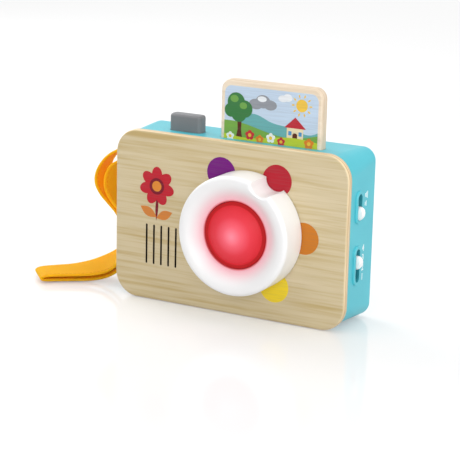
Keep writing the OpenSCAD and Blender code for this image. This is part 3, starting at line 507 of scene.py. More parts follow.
@dataclass(frozen=True)
class WebbingFinish:
    """Woven orange webbing with a fine twill and a row of stitches along each edge.

    Its gain is a painted glow: a little emission that brightens the strap where it hangs free and stands
    for the light that shines through the weave. Its lit and shade colours paint the twill's lit and shaded
    threads.
    """

    name: str
    width: float
    lit: Colour = paint(255, 170, 24)
    shade: Colour = paint(250, 155, 8)
    thread: Colour = paint(226, 126, 4)
    twill_mm: float = 1.1
    stitch_mm: float = 2.6
    stitch_at: float = 1.9
    # The next three fields make the painted glow: an emission in this colour that rises to the gain above
    # the free_from heights.
    through: Colour = paint(255, 152, 26)
    gain: float = 0.0
    free_from: Flat = (30.0, 50.0)

    def material(self) -> Material:
        """Builds the webbing's material on the strap's own map, which is in millimetres.

        Returns:
            The material.
        """
        graph = Graph(self.name)
        across, along, _ = graph.parts(graph.coordinates.outputs["UV"])
        _, _, height = graph.parts(graph.coordinates.outputs["Object"])
        turn = 2 * math.pi / self.twill_mm
        weft = graph.math("SINE", graph.math("MULTIPLY", graph.math("ADD", across, along), turn))
        warp = graph.math("SINE", graph.math("MULTIPLY", graph.math("SUBTRACT", across, along), turn * 0.5))
        weave = graph.band(graph.math("MULTIPLY", weft, warp), -1.0, 1.0)
        wear = graph.noise(graph.stretched((0.35, 0.08, 1), source="UV"), 1.0, 3)
        # Painted shading: the twill's threads are drawn lit and shaded in the lit and shade colours.
        base = graph.mix(graph.math("MULTIPLY", weave, 0.6), self.lit, self.shade)
        base = graph.mix(graph.band(wear, 0.45, 0.8, 0.0, 0.4), base, self.shade)
        half = self.width / 2
        off_middle = graph.math("ABSOLUTE", graph.math("SUBTRACT", across, half))
        from_edge = graph.math("SUBTRACT", half, off_middle)
        off_row = graph.math("ABSOLUTE", graph.math("SUBTRACT", from_edge, self.stitch_at))
        in_row = graph.band(off_row, 0.22, 0.42, 1.0, 0.0)
        step = graph.math("FRACT", graph.math("DIVIDE", along, self.stitch_mm))
        off_stitch = graph.math("ABSOLUTE", graph.math("SUBTRACT", step, 0.5))
        on_stitch = graph.band(off_stitch, 0.3, 0.36, 1.0, 0.0)
        stitch = graph.math("MULTIPLY", in_row, on_stitch)
        graph.surface(
            Base_Color=graph.mix(graph.math("MULTIPLY", stitch, 0.7), base, self.thread),
            Roughness=graph.band(weave, 0.0, 1.0, 0.72, 0.86),
            Specular_IOR_Level=0.15,
            Subsurface_Weight=0.8,
            Subsurface_Radius=(1.0, 0.78, 0.15),
            Subsurface_Scale=8 * MM,
            # Painted glow: emission that brightens the strap above the free_from heights.
            Emission_Color=self.through,
            Emission_Strength=graph.band(height, *(z * MM for z in self.free_from), 0.0, self.gain),
        )
        graph.relief(graph.math("ADD", weave, graph.math("MULTIPLY", stitch, 1.5)), 0.35, 0.25)
        return graph.material


@dataclass(frozen=True)
class InkFinish:
    """A printed ink that lets a little of the grain through."""

    name: str
    colour: Colour

    def material(self) -> Material:
        """Builds the ink's material.

        Returns:
            The material.
        """
        graph = Graph(self.name)
        fibres = graph.noise(graph.stretched((60, 60, 1500)), detail=2)
        thin = tuple(min(1.0, part * 0.86 + 0.02) for part in self.colour[:3]) + (1.0,)
        graph.surface(
            Base_Color=graph.mix(graph.band(fibres, 0.35, 0.75), self.colour, thin),
            Roughness=graph.band(fibres, 0.2, 0.8, 0.5, 0.6),
            Specular_IOR_Level=0.2,
        )
        graph.relief(fibres, 0.08, 0.08)
        return graph.material


@dataclass(frozen=True)
class MetalFinish:
    """Bare or plated metal with fine drawn lines."""

    name: str
    colour: Colour
    rough: Flat = (0.24, 0.4)

    def material(self) -> Material:
        """Builds the metal's material.

        Returns:
            The material.
        """
        graph = Graph(self.name)
        lines = graph.noise(graph.stretched((2200, 160, 2200)), detail=2)
        stain = graph.noise(graph.coordinates.outputs["Object"], 210, 3)
        dark = tuple(part * 0.78 for part in self.colour[:3]) + (1.0,)
        graph.surface(
            Base_Color=graph.mix(graph.band(stain, 0.4, 0.8), self.colour, dark),
            Metallic=1.0,
            Roughness=graph.band(lines, 0.2, 0.8, *self.rough),
        )
        graph.relief(lines, 0.1, 0.05)
        return graph.material


@dataclass(frozen=True)
class CircuitFinish:
    """A green circuit board with pale copper runs under its mask."""

    name: str
    mask: Colour = paint(34, 104, 66)
    mask_dark: Colour = paint(30, 94, 58)
    run: Colour = paint(62, 140, 88)

    def material(self) -> Material:
        """Builds the circuit board's material.

        Returns:
            The material.
        """
        graph = Graph(self.name)
        brick = graph.tree.nodes.new("ShaderNodeTexBrick")
        graph.tree.links.new(graph.stretched((1, 1, 1)), brick.inputs["Vector"])
        for name, value in (("Scale", 320.0), ("Mortar Size", 0.06), ("Color1", self.mask),
                            ("Color2", self.mask_dark), ("Mortar", self.run)):
            brick.inputs[name].default_value = value
        grain = graph.noise(graph.coordinates.outputs["Object"], 1600, 2)
        graph.surface(
            Base_Color=brick.outputs[0],
            Roughness=graph.band(grain, 0.3, 0.7, 0.3, 0.42),
            Coat_Weight=0.2,
        )
        graph.relief(brick.outputs["Fac"], 0.2, 0.04)
        return graph.material


class Bench:
    """Modelling steps that the sub-assemblies share, each made with the editor's operators."""

    @staticmethod
    def only(piece: Piece) -> None:
        """Selects one piece and makes it the active one.

        Args:
            piece: The piece.
        """
        bpy.ops.object.select_all(action="DESELECT")
        piece.select_set(True)
        bpy.context.view_layer.objects.active = piece

    @staticmethod
    def settle(name: str) -> Piece:
        """Names the new piece and puts its place into its mesh.

        Args:
            name: Name of the piece.

        Returns:
            The piece.
        """
        piece = bpy.context.object
        piece.name = name
        bpy.ops.object.transform_apply(location=True, rotation=True, scale=True)
        return piece

    @staticmethod
    def modify(piece: Piece, kind: str, **settings: object) -> None:
        """Adds a modifier to a piece and applies it.

        Args:
            piece: The piece.
            kind: Type of the modifier.
            settings: Names and values of its settings.
        """
        Bench.only(piece)
        bpy.ops.object.modifier_add(type=kind)
        step = piece.modifiers[-1]
        for name, value in settings.items():
            setattr(step, name, value)
        bpy.ops.object.modifier_apply(modifier=step.name)

    @staticmethod
    def discard(tool: Piece) -> None:
        """Deletes a piece that is used up.

        Args:
            tool: The piece.
        """
        Bench.only(tool)
        bpy.ops.object.delete()

    @staticmethod
    def block(name: str, low: Point, high: Point) -> Piece:
        """Adds a box between two corners.

        Args:
            name: Name of the box.
            low: Lowest corner.
            high: Highest corner.

        Returns:
            The box.
        """
        bpy.ops.object.select_all(action="DESELECT")
        bpy.ops.mesh.primitive_cube_add(size=1, location=[(a + b) / 2 * MM for a, b in zip(low, high)])
        bpy.context.object.scale = [(b - a) * MM for a, b in zip(low, high)]
        return Bench.settle(name)

    @staticmethod
    def round_edges(
        piece: Piece, test: Callable[[Vector, Vector], bool], radius: float, segments: int
    ) -> None:
        """Rounds the edges whose two ends pass a test.

        Args:
            piece: The piece.
            test: Takes an edge's two ends in millimetres.
            radius: Radius of the rounding.
            segments: Steps of the rounding.
        """
        Bench.only(piece)
        bpy.ops.object.mode_set(mode="EDIT")
        bpy.ops.mesh.select_mode(type="EDGE")
        bpy.ops.mesh.select_all(action="DESELECT")
        mesh = bmesh.from_edit_mesh(piece.data)
        for edge in mesh.edges:
            first, second = (corner.co / MM for corner in edge.verts)
            edge.select_set(test(first, second))
        bmesh.update_edit_mesh(piece.data)
        bpy.ops.mesh.bevel(offset=radius * MM, segments=segments, affect="EDGES", clamp_overlap=False)
        bpy.ops.object.mode_set(mode="OBJECT")

    @staticmethod
    def round_along(piece: Piece, axis: Axis, radius: float, segments: int) -> None:
        """Rounds the edges that run along an axis.

        Args:
            piece: The piece.
            axis: The axis.
            radius: Radius of the rounding.
            segments: Steps of the rounding.
        """
        others = [i for i in range(3) if i != axis.value]
        Bench.round_edges(
            piece, lambda a, b: all(abs(a[i] - b[i]) < NEAR for i in others), radius, segments
        )

    @staticmethod
    def round_rim(piece: Piece, axis: Axis, level: float, radius: float, segments: int) -> None:
        """Rounds the edges of the flat face at a level of an axis.

        Args:
            piece: The piece.
            axis: Axis that the face is square to.
            level: Place of the face on the axis.
            radius: Radius of the rounding.
            segments: Steps of the rounding.
        """
        place = axis.value
        Bench.round_edges(
            piece, lambda *ends: all(abs(end[place] - level) < NEAR for end in ends), radius, segments
        )

    @staticmethod
    def prism(name: str, axis: Axis, low: Point, high: Point, radius: float, segments: int = 8) -> Piece:
        """Adds a box whose edges along one axis are rounded.

        Args:
            name: Name of the prism.
            axis: Axis of the rounded edges.
            low: Lowest corner.
            high: Highest corner.
            radius: Radius of the rounding.
            segments: Steps of each rounding.

        Returns:
            The prism.
        """
        piece = Bench.block(name, low, high)
        Bench.round_along(piece, axis, radius, segments)
        return piece

    @staticmethod
    def rod(name: str, centre: Flat, y_range: Flat, radius: float, steps: int = 32) -> Piece:
        """Adds a round rod along Y.

        Args:
            name: Name of the rod.
            centre: X and Z of its axis.
            y_range: Where it starts and ends.
            radius: Its radius.
            steps: Sides of its round.

        Returns:
            The rod.
        """
        bpy.ops.object.select_all(action="DESELECT")
        bpy.ops.mesh.primitive_cylinder_add(
            vertices=steps,
            radius=radius * MM,
            depth=(y_range[1] - y_range[0]) * MM,
            location=(centre[0] * MM, sum(y_range) / 2 * MM, centre[1] * MM),
            rotation=(math.pi / 2, 0, 0),
        )
        return Bench.settle(name)

    @staticmethod
    def turned(
        name: str, profile: Sequence[Flat], centre: Flat, steps: int = 128, solid: bool = False
    ) -> Piece:
        """Turns a profile about an axis along Y, ring by ring.

        Args:
            name: Name of the piece.
            profile: Radius and Y of each ring.
            centre: X and Z of the axis.
            steps: Steps of the turn.
            solid: Whether the first and last rings are closed with a face.

        Returns:
            The turned piece.
        """
        x, z = centre
        bpy.ops.object.select_all(action="DESELECT")
        bpy.ops.mesh.primitive_circle_add(
            vertices=steps,
            radius=profile[0][0] * MM,
            fill_type="NGON" if solid else "NOTHING",
            location=(x * MM, profile[0][1] * MM, z * MM),
            rotation=(math.pi / 2, 0, 0),
        )
        piece = Bench.settle(name)
        bpy.ops.object.mode_set(mode="EDIT")
        bpy.ops.mesh.select_all(action="SELECT")
        for (old_r, old_y), (r, y) in zip(profile, profile[1:]):
            bpy.ops.mesh.extrude_region_move(TRANSFORM_OT_translate={"value": (0, (y - old_y) * MM, 0)})
            grow = r / old_r
            bpy.ops.transform.resize(value=(grow, 1, grow), center_override=(x * MM, y * MM, z * MM))
        bpy.ops.object.mode_set(mode="OBJECT")
        Bench.clean(piece)
        return piece

    @staticmethod
    def clean(piece: Piece) -> None:
        """Merges doubled points and turns the faces outwards.

        Args:
            piece: The piece.
        """
        Bench.only(piece)
        bpy.ops.object.mode_set(mode="EDIT")
        bpy.ops.mesh.select_all(action="SELECT")
        bpy.ops.mesh.remove_doubles(threshold=1e-6)
        bpy.ops.mesh.normals_make_consistent(inside=False)
        bpy.ops.object.mode_set(mode="OBJECT")

    @staticmethod
    def wrap(piece: Piece) -> None:
        """Wraps a piece in its convex hull and joins the hull's flat faces.

        Args:
            piece: The piece.
        """
        Bench.only(piece)
        bpy.ops.object.mode_set(mode="EDIT")
        bpy.ops.mesh.select_all(action="SELECT")
        bpy.ops.mesh.convex_hull()
        bpy.ops.mesh.select_all(action="SELECT")
        bpy.ops.mesh.dissolve_limited(angle_limit=math.radians(0.5))
        bpy.ops.object.mode_set(mode="OBJECT")

    @staticmethod
    def combine(piece: Piece, tool: Piece, way: Join) -> None:
        """Combines a piece with another solid, which is used up.

        The result's volume shows whether a part was lost, and then the step is made again.

        Args:
            piece: The piece that stays.
            tool: The solid that is used up.
            way: How they are combined.
        """
        before = piece.data.copy()
        old, extra = Bench.volume(piece), Bench.volume(tool)
        least, most = {
            Join.ADD: (max(old, extra), old + extra),
            Join.CUT: (old - extra, old),
            Join.KEEP: (0.0, min(old, extra)),
        }[way]
        for _ in range(TRIES):
            Bench.modify(piece, "BOOLEAN", operation=way.value, solver="EXACT", object=tool)
            if piece.data.polygons and least - SLACK < Bench.volume(piece) < most + SLACK:
                break
            log.warning("%s lost a part with %s and is combined again", piece.name, tool.name)
            piece.data = before.copy()
        bpy.data.meshes.remove(before)
        Bench.discard(tool)

    @staticmethod
    def volume(piece: Piece) -> float:
        """Measures the space that a closed piece fills.

        Args:
            piece: The piece.

        Returns:
            Its volume in cubic metres.
        """
        mesh = bmesh.new()
        mesh.from_mesh(piece.data)
        space = mesh.calc_volume()
        mesh.free()
        return space

    @staticmethod
    def soften(piece: Piece, width: float, segments: int = 2, angle: float = 40.0) -> None:
        """Rounds every edge that is sharper than an angle.

        Args:
            piece: The piece.
            width: Width of the rounding.
            segments: Steps of the rounding.
            angle: Least angle between the faces, in degrees.
        """
        Bench.modify(
            piece, "BEVEL", limit_method="ANGLE", angle_limit=math.radians(angle), width=width * MM,
            segments=segments,
        )

    @staticmethod
    def smooth(piece: Piece, angle: float = 35.0) -> None:
        """Shades a piece smooth and lets its large faces lead the shading.

        Args:
            piece: The piece.
            angle: Angle from which an edge stays sharp, in degrees.
        """
        Bench.only(piece)
        bpy.ops.object.shade_smooth_by_angle(angle=math.radians(angle))
        Bench.modify(piece, "WEIGHTED_NORMAL", keep_sharp=True)

    @staticmethod
    def joined(name: str, pieces: Sequence[Piece]) -> Piece:
        """Joins pieces into one mesh.

        Args:
            name: Name of the joined piece.
            pieces: The pieces, of which the first one stays.

        Returns:
            The joined piece.
        """
        Bench.only(pieces[0])
        for piece in pieces[1:]:
            piece.select_set(True)
        bpy.ops.object.join()
        return Bench.settle(name)

    @staticmethod
    def plate(name: str, outline: Sequence[Flat], face: Face, level: float, thick: float) -> Piece:
        """Adds a thin plate with an outline, as a print on a flat face.

        Args:
            name: Name of the plate.
            outline: Points on the face: X and Z on the front, Y and Z on the right.
            face: The face that carries the print.
            level: Place of the face on its axis.
            thick: Height of the print above the face.

        Returns:
            The plate.
        """
        sign, axis = face.value
        bpy.ops.object.select_all(action="DESELECT")
        bpy.ops.mesh.primitive_circle_add(vertices=len(outline), fill_type="NGON")
        piece = Bench.settle(name)
        sunk = level - sign * SUNK
        for corner, (a, b) in zip(piece.data.vertices, outline):
            corner.co = Vector((a, sunk, b) if axis is Axis.Y else (sunk, a, b)) * MM
        rise = [0.0, 0.0, 0.0]
        rise[axis.value] = sign * (thick + SUNK) * MM
        bpy.ops.object.mode_set(mode="EDIT")
        bpy.ops.mesh.select_all(action="SELECT")
        bpy.ops.mesh.extrude_region_move(TRANSFORM_OT_translate={"value": rise})
        bpy.ops.object.mode_set(mode="OBJECT")
        Bench.clean(piece)
        return piece

    @staticmethod
    def dress(piece: Piece, material: Material) -> None:
        """Gives a piece one material all over."""
        piece.data.materials.clear()
        piece.data.materials.append(material)

    @staticmethod
    def hand_over(piece: Piece, body: Body, slot: str, *nodes: str) -> None:
        """Lets a piece ride on its body and stand for its nodes.

        Args:
            piece: The finished piece.
            body: The body that carries it.
            slot: The record's material slot; not used.
            nodes: The nodes that it stands for.
        """
        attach(piece, body.value)
        if nodes:
            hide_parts(*nodes)
        log.info("%s: %d faces on %s", piece.name, len(piece.data.polygons), body.value)


class Outline:
    """Outlines of printed shapes, as points in the plane of a face."""

    @staticmethod
    def around(centre: Flat, radius: float, turn: float) -> Flat:
        """Finds a point on a circle.

        Args:
            centre: Middle of the circle.
            radius: Its radius.
            turn: Where the point lies, in degrees.

        Returns:
            The point.
        """
        a = math.radians(turn)
        return (centre[0] + radius * math.cos(a), centre[1] + radius * math.sin(a))

    @staticmethod
    def oval(centre: Flat, wide: float, high: float, turn: float = 0.0, count: int = 40) -> list[Flat]:
        """Draws an oval.

        Args:
            centre: Its middle.
            wide: Half of its width.
            high: Half of its height.
            turn: How far it is turned, in degrees.
            count: Number of points.

        Returns:
            The points.
        """
        lean = math.radians(turn)
        points = []
        for i in range(count):
            a = 2 * math.pi * i / count
            u, v = wide * math.cos(a), high * math.sin(a)
            points.append((
                centre[0] + u * math.cos(lean) - v * math.sin(lean),
                centre[1] + u * math.sin(lean) + v * math.cos(lean),
            ))
        return points

    @staticmethod
    def blade(root: Flat, tip: Flat, width: float, count: int = 12) -> list[Flat]:
        """Draws a leaf with a point at both ends.

        Args:
            root: Where it starts.
            tip: Where it ends.
            width: Its greatest width.
            count: Points along each side.

        Returns:
            The points.
        """
        run = (tip[0] - root[0], tip[1] - root[1])
        size = math.hypot(*run)
        side = (-run[1] / size, run[0] / size)
        there = [(i / count, math.sin(math.pi * i / count) * width / 2) for i in range(count)]
        back = [(1 - i / count, -math.sin(math.pi * i / count) * width / 2) for i in range(count)]
        return [
            (root[0] + run[0] * t + side[0] * w, root[1] + run[1] * t + side[1] * w)
            for t, w in there + back
        ]

    @staticmethod
    def ridge(x_range: Flat, floor: float, height: Callable[[float], float], count: int = 40) -> list[Flat]:
        """Draws a hill between two sides.

        Args:
            x_range: Left and right side.
            floor: Level of its bottom.
            height: Gives the top's level at an X.
            count: Steps along the top.

        Returns:
            The points.
        """
        left, right = x_range
        tops = [right + (left - right) * i / count for i in range(count + 1)]
        return [(left, floor), (right, floor)] + [(x, height(x)) for x in tops]

    @staticmethod
    def card(low: Flat, high: Flat, radius: float, count: int = 8) -> list[Flat]:
        """Draws a rectangle with round corners.

        Args:
            low: Lowest corner.
            high: Highest corner.
            radius: Radius of the corners.
            count: Steps of each corner.

        Returns:
            The points.
        """
        points = []
        (left, bottom), (right, top) = (v + radius for v in low), (v - radius for v in high)
        for cx, cz, start in ((right, top, 0), (left, top, 90), (left, bottom, 180), (right, bottom, 270)):
            for i in range(count + 1):
                a = math.radians(start + 90 * i / count)
                points.append((cx + radius * math.cos(a), cz + radius * math.sin(a)))
        return points


@dataclass(frozen=True)
class Lamp:
    """A soft square lamp: its name, its place, the length of its side and its power in watts."""

    name: str
    place: Point
    size: float
    watts: float


@dataclass
class Studio:
    """The pale floor, the soft lights and the camera at the photographed angle."""

    target: Point = (1.893, -2.5, 49.79)
    azimuth: float = 28.28
    elevation: float = 14.496
    roll: float = 1.37
    distance: float = 982.56
    lens: float = 134.6
    sensor: float = 36.0
    floor_size: float = 6.0
    floor_level: float = -0.3
    sky: float = 0.5
    floor_grey: float = 0.64
    floor_light: float = 0.278
    floor_rough: Flat = (0.08, 0.11)
    floor_mirror: float = 0.22
    lamps: Sequence[Lamp] = (
        Lamp("key", (-620, -900, 1150), 900, 3.0),
        Lamp("front", (360, -940, 330), 450, 2.85),
        Lamp("fill", (1000, -200, 480), 800, 5.0),
        Lamp("left", (-900, 350, 620), 700, 6.5),
        Lamp("top", (100, 250, 1250), 900, 3.5),
    )

    def build(self) -> None:
        """Sets up the camera, the floor and the lights."""
        self.add_camera()
        self.add_floor()
        self.add_world()
        for lamp in self.lamps:
            self.add_lamp(lamp)
        bpy.context.scene.view_settings.view_transform = "Standard"

    def add_camera(self) -> None:
        """Adds the camera at the photographed angle."""
        a, e, roll = (math.radians(v) for v in (self.azimuth, self.elevation, self.roll))
        back = Vector((math.sin(a) * math.cos(e), -math.cos(a) * math.cos(e), math.sin(e)))
        right = Vector((math.cos(a), math.sin(a), 0))
        up = back.cross(right)
        side = right * math.cos(roll) + up * math.sin(roll)
        top = up * math.cos(roll) - right * math.sin(roll)
        bpy.ops.object.select_all(action="DESELECT")
        bpy.ops.object.camera_add()
        camera = bpy.context.object
        camera.name = "photo_camera"
        turn = Matrix((side, top, back)).transposed().to_4x4()
        camera.matrix_world = Matrix.Translation((Vector(self.target) + back * self.distance) * MM) @ turn
        camera.data.lens = self.lens
        camera.data.sensor_width = self.sensor
        camera.data.clip_start = 0.01
        bpy.context.scene.camera = camera

    def seen(self, tree: bpy.types.NodeTree) -> Socket:
        """Tells whether a ray looks at a surface, straight or in a mirror or glass.

        Args:
            tree: The node tree.

        Returns:
            A socket that is 1 for such a ray.
        """
        path = tree.nodes.new("ShaderNodeLightPath")
        total = path.outputs["Is Camera Ray"]
        for name in ("Is Glossy Ray", "Is Transmission Ray"):
            add = tree.nodes.new("ShaderNodeMath")
            add.operation = "MAXIMUM"
            tree.links.new(total, add.inputs[0])
            tree.links.new(path.outputs[name], add.inputs[1])
            total = add.outputs[0]
        return total

    def add_floor(self) -> None:
        """Adds the floor, which shows as white and keeps the object's shadow."""
        bpy.ops.object.select_all(action="DESELECT")
        bpy.ops.mesh.primitive_plane_add(size=self.floor_size, location=(0, 0, self.floor_level * MM))
        floor = Bench.settle("floor")
        graph = Graph("floor_white")
        gain = graph.math("MULTIPLY", self.seen(graph.tree), self.floor_light)
        haze = graph.noise(graph.coordinates.outputs["Object"], 3, 2)
        graph.surface(
            Base_Color=(self.floor_grey, self.floor_grey, self.floor_grey, 1.0),
            Roughness=graph.band(haze, 0.2, 0.8, *self.floor_rough),
            Specular_IOR_Level=self.floor_mirror,
            Emission_Color=(1.0, 1.0, 1.0, 1.0),
            Emission_Strength=gain,
        )
        Bench.dress(floor, graph.material)

    def add_world(self) -> None:
        """Lights the scene softly from all round, with a white background."""
        world = bpy.data.worlds.new("studio_sky")
        world.use_nodes = True
        tree = world.node_tree
        tree.nodes.clear()
        end = tree.nodes.new("ShaderNodeOutputWorld")
        mixed = tree.nodes.new("ShaderNodeMixShader")
        tree.links.new(self.seen(tree), mixed.inputs[0])
        for place, strength in ((1, self.sky), (2, 1.0)):
            light = tree.nodes.new("ShaderNodeBackground")
            light.inputs["Color"].default_value = (1, 1, 1, 1)
            light.inputs["Strength"].default_value = strength
            tree.links.new(light.outputs[0], mixed.inputs[place])
        tree.links.new(mixed.outputs[0], end.inputs["Surface"])
        bpy.context.scene.world = world

    def add_lamp(self, lamp: Lamp) -> None:
        """Adds a lamp that faces the object.

        Args:
            lamp: The lamp's facts.
        """
        bpy.ops.object.select_all(action="DESELECT")
        bpy.ops.object.light_add(type="AREA", location=Vector(lamp.place) * MM)
        made = bpy.context.object
        made.name = f"lamp_{lamp.name}"
        made.data.size = lamp.size * MM
        made.data.energy = lamp.watts
        aim = Vector(self.target) - Vector(lamp.place)
        made.rotation_euler = aim.to_track_quat("-Z", "Y").to_euler()


@dataclass
class WristStrap:
    """The orange strap, a loop of webbing from the bar in the shell's left side down to the floor."""

    width: float = 19.0
    thick: float = 1.8
    crown: float = 0.12
    steps: int = 6
    exits: tuple[Point, Point] = ((-74.0, 20.0, 85.6), (-74.0, 20.0, 79.4))
    seam: int = 24
    # Strength of the painted glow on the inner strand, which hangs in the outer strand's shade.
    through: float = 0.18
    route: Sequence[tuple[float, float, float, float, float]] = (
        (-64.9, 20, 83.6, 0, 0), (-66.2, 20, 85.3, 0, 0), (-69, 20, 85.6, 0, 0), (-75, 20, 85.5, 2, 0),
        (-82.6, 20, 84, 8, 0), (-89.6, 20, 80.6, 10, 0), (-95, 20, 75.2, 8, 0), (-98.2, 20, 68.4, 4, 0),
        (-98, 20, 61.6, 0, 0), (-94.6, 20, 55.6, 0, 0), (-89, 20, 50.4, 0, 0), (-83.2, 20, 45, 0, 0),
        (-80, 20, 38.4, 0, 0), (-79.3, 20, 30.8, 0, 4), (-81.4, 20, 22.8, 4, 20), (-86.6, 20, 16, 10, 33),
        (-94.4, 19.2, 10.4, 20, 26), (-103.2, 15.6, 7, 28, 15), (-112.4, 10, 5.4, 33, 7),
        (-121.4, 3.6, 4.9, 38, 4), (-127.6, -1.8, 4.5, 43, 3), (-129.6, -3.7, 3, 45, 3),
        (-127.4, -1.4, 2, 43, 3), (-121.4, 3.9, 1.9, 38, 4), (-112.4, 10.5, 2.3, 33, 7),
        (-102.9, 16.8, 3.7, 28, 15), (-93.4, 21, 7.6, 20, 26), (-84.7, 21.8, 13.8, 10, 33),
        (-77.2, 20, 20.6, 4, 20), (-76, 20, 31, 0, 3), (-79.6, 20, 44.2, 0, 0),
        (-84.6, 20, 50.4, -5, 0), (-88.2, 20, 57, -15, 0), (-88.8, 20, 64.4, -22, 0),
        (-86.2, 20, 72, -17, 0), (-81.4, 20, 76.9, -6, 0), (-75.5, 20, 79, 0, 0),
        (-69, 20, 79.4, 0, 0), (-66.2, 20, 79.7, 0, 0), (-64.9, 20, 81.4, 0, 0),
    )

    def line(self) -> list[Vector]:
        """Draws the smooth middle line through the route.

        Returns:
            Points with the width's turn and lean as a fourth and fifth number.
        """
        knots = [Vector(p) for p in self.route]
        last = len(knots) - 1
        line = []
        for i in range(last):
            p, q, r, s = (knots[max(0, min(last, k))] for k in (i - 1, i, i + 1, i + 2))
            for k in range(self.steps):
                t = k / self.steps
                line.append(0.5 * (2 * q + (r - p) * t + (2 * p - 5 * q + 4 * r - s) * t * t
                                   + (3 * q - p - 3 * r + s) * t ** 3))
        return line + [knots[last]]

    def section(self) -> list[Flat]:
        """Draws the strap's cross-section.

        Returns:
            Points across and through the strap, in order round it.
        """
        half, deep = self.width / 2, self.thick / 2 - self.crown
        flat = half - deep
        across = [flat * (1 - i / 4) for i in range(9)]
        top = [(x, deep + self.crown * (1 - (x / flat) ** 2)) for x in across]
        turns = [math.radians(a) for a in (45, 90, 135)]
        end = [(-flat - deep * math.sin(a), deep * math.cos(a)) for a in turns]
        return top + end + [(-x, -y) for x, y in top + end]

    def build(self) -> None:
        """Makes the two strands, which meet under the fold on the floor."""
        line = self.line()
        seam = self.seam * self.steps
        # Only the inner strand takes the painted glow.
        for name, first, last, leaves, gain in (
            ("wrist_strap_outer", 0, seam, self.exits[0], 0.0),
            ("wrist_strap_inner", seam, len(line) - 1, self.exits[1], self.through),
        ):
            strand = self.strand(name, line, first, last)
            Bench.dress(strand, WebbingFinish(f"{name}_weave", self.width, gain=gain).material())
            Bench.hand_over(strand, Body.CASE, "strap_fabric", "wrist_strap")
            path = [Vector(knot[:3]) * MM for knot in line[first:last + 1]]
            [v * MM for v in leaves]

    def strand(self, name: str, line: Sequence[Vector], first: int, last: int) -> Piece:
        """Sweeps the section along a stretch of the line.

        Args:
            name: Name of the strand.
            line: The whole strap's middle line.
            first: Where the stretch starts on the line.
            last: Where it ends.

        Returns:
            The strand, with a map in millimetres.
        """
        section = self.section()
        count = len(section)
        points, travelled, run = [], [], 0.0
        for i in range(first, last + 1):
            place = Vector(line[i][:3])
            before, after = (Vector(line[max(0, min(len(line) - 1, k))][:3]) for k in (i - 1, i + 1))
            heading = (after - before).normalized()
            turn, lean = (math.radians(a) for a in line[i][3:])
            level = math.cos(lean)
            across = Vector((math.sin(turn) * level, -math.cos(turn) * level, -math.sin(lean)))
            wide = (across - heading * across.dot(heading)).normalized()
            up = heading.cross(wide)
            travelled.append(run)
            run += (after - place).length
            points += [(place + wide * u + up * v) * MM for u, v in section]
        faces = []
        for start in range(0, (last - first) * count, count):
            for k in range(count):
                after = (k + 1) % count
                faces.append((start + k, start + after, start + count + after, start + count + k))
        caps = [tuple(range(count)), tuple(range(len(points) - 1, len(points) - count - 1, -1))]
        mesh = bpy.data.meshes.new(name)
        mesh.from_pydata(points, [], faces + caps)
        chart = mesh.uv_layers.new(name="webbing")
        for face in mesh.polygons:
            for corner, vertex in zip(face.loop_indices, face.vertices):
                ring, place = divmod(vertex, count)
                chart.data[corner].uv = (section[place][0] + self.width / 2, travelled[ring])
        strand = bpy.data.objects.new(name, mesh)
        bpy.context.scene.collection.objects.link(strand)
        Bench.clean(strand)
        bpy.ops.object.shade_smooth_by_angle(angle=math.radians(50))
        return strand


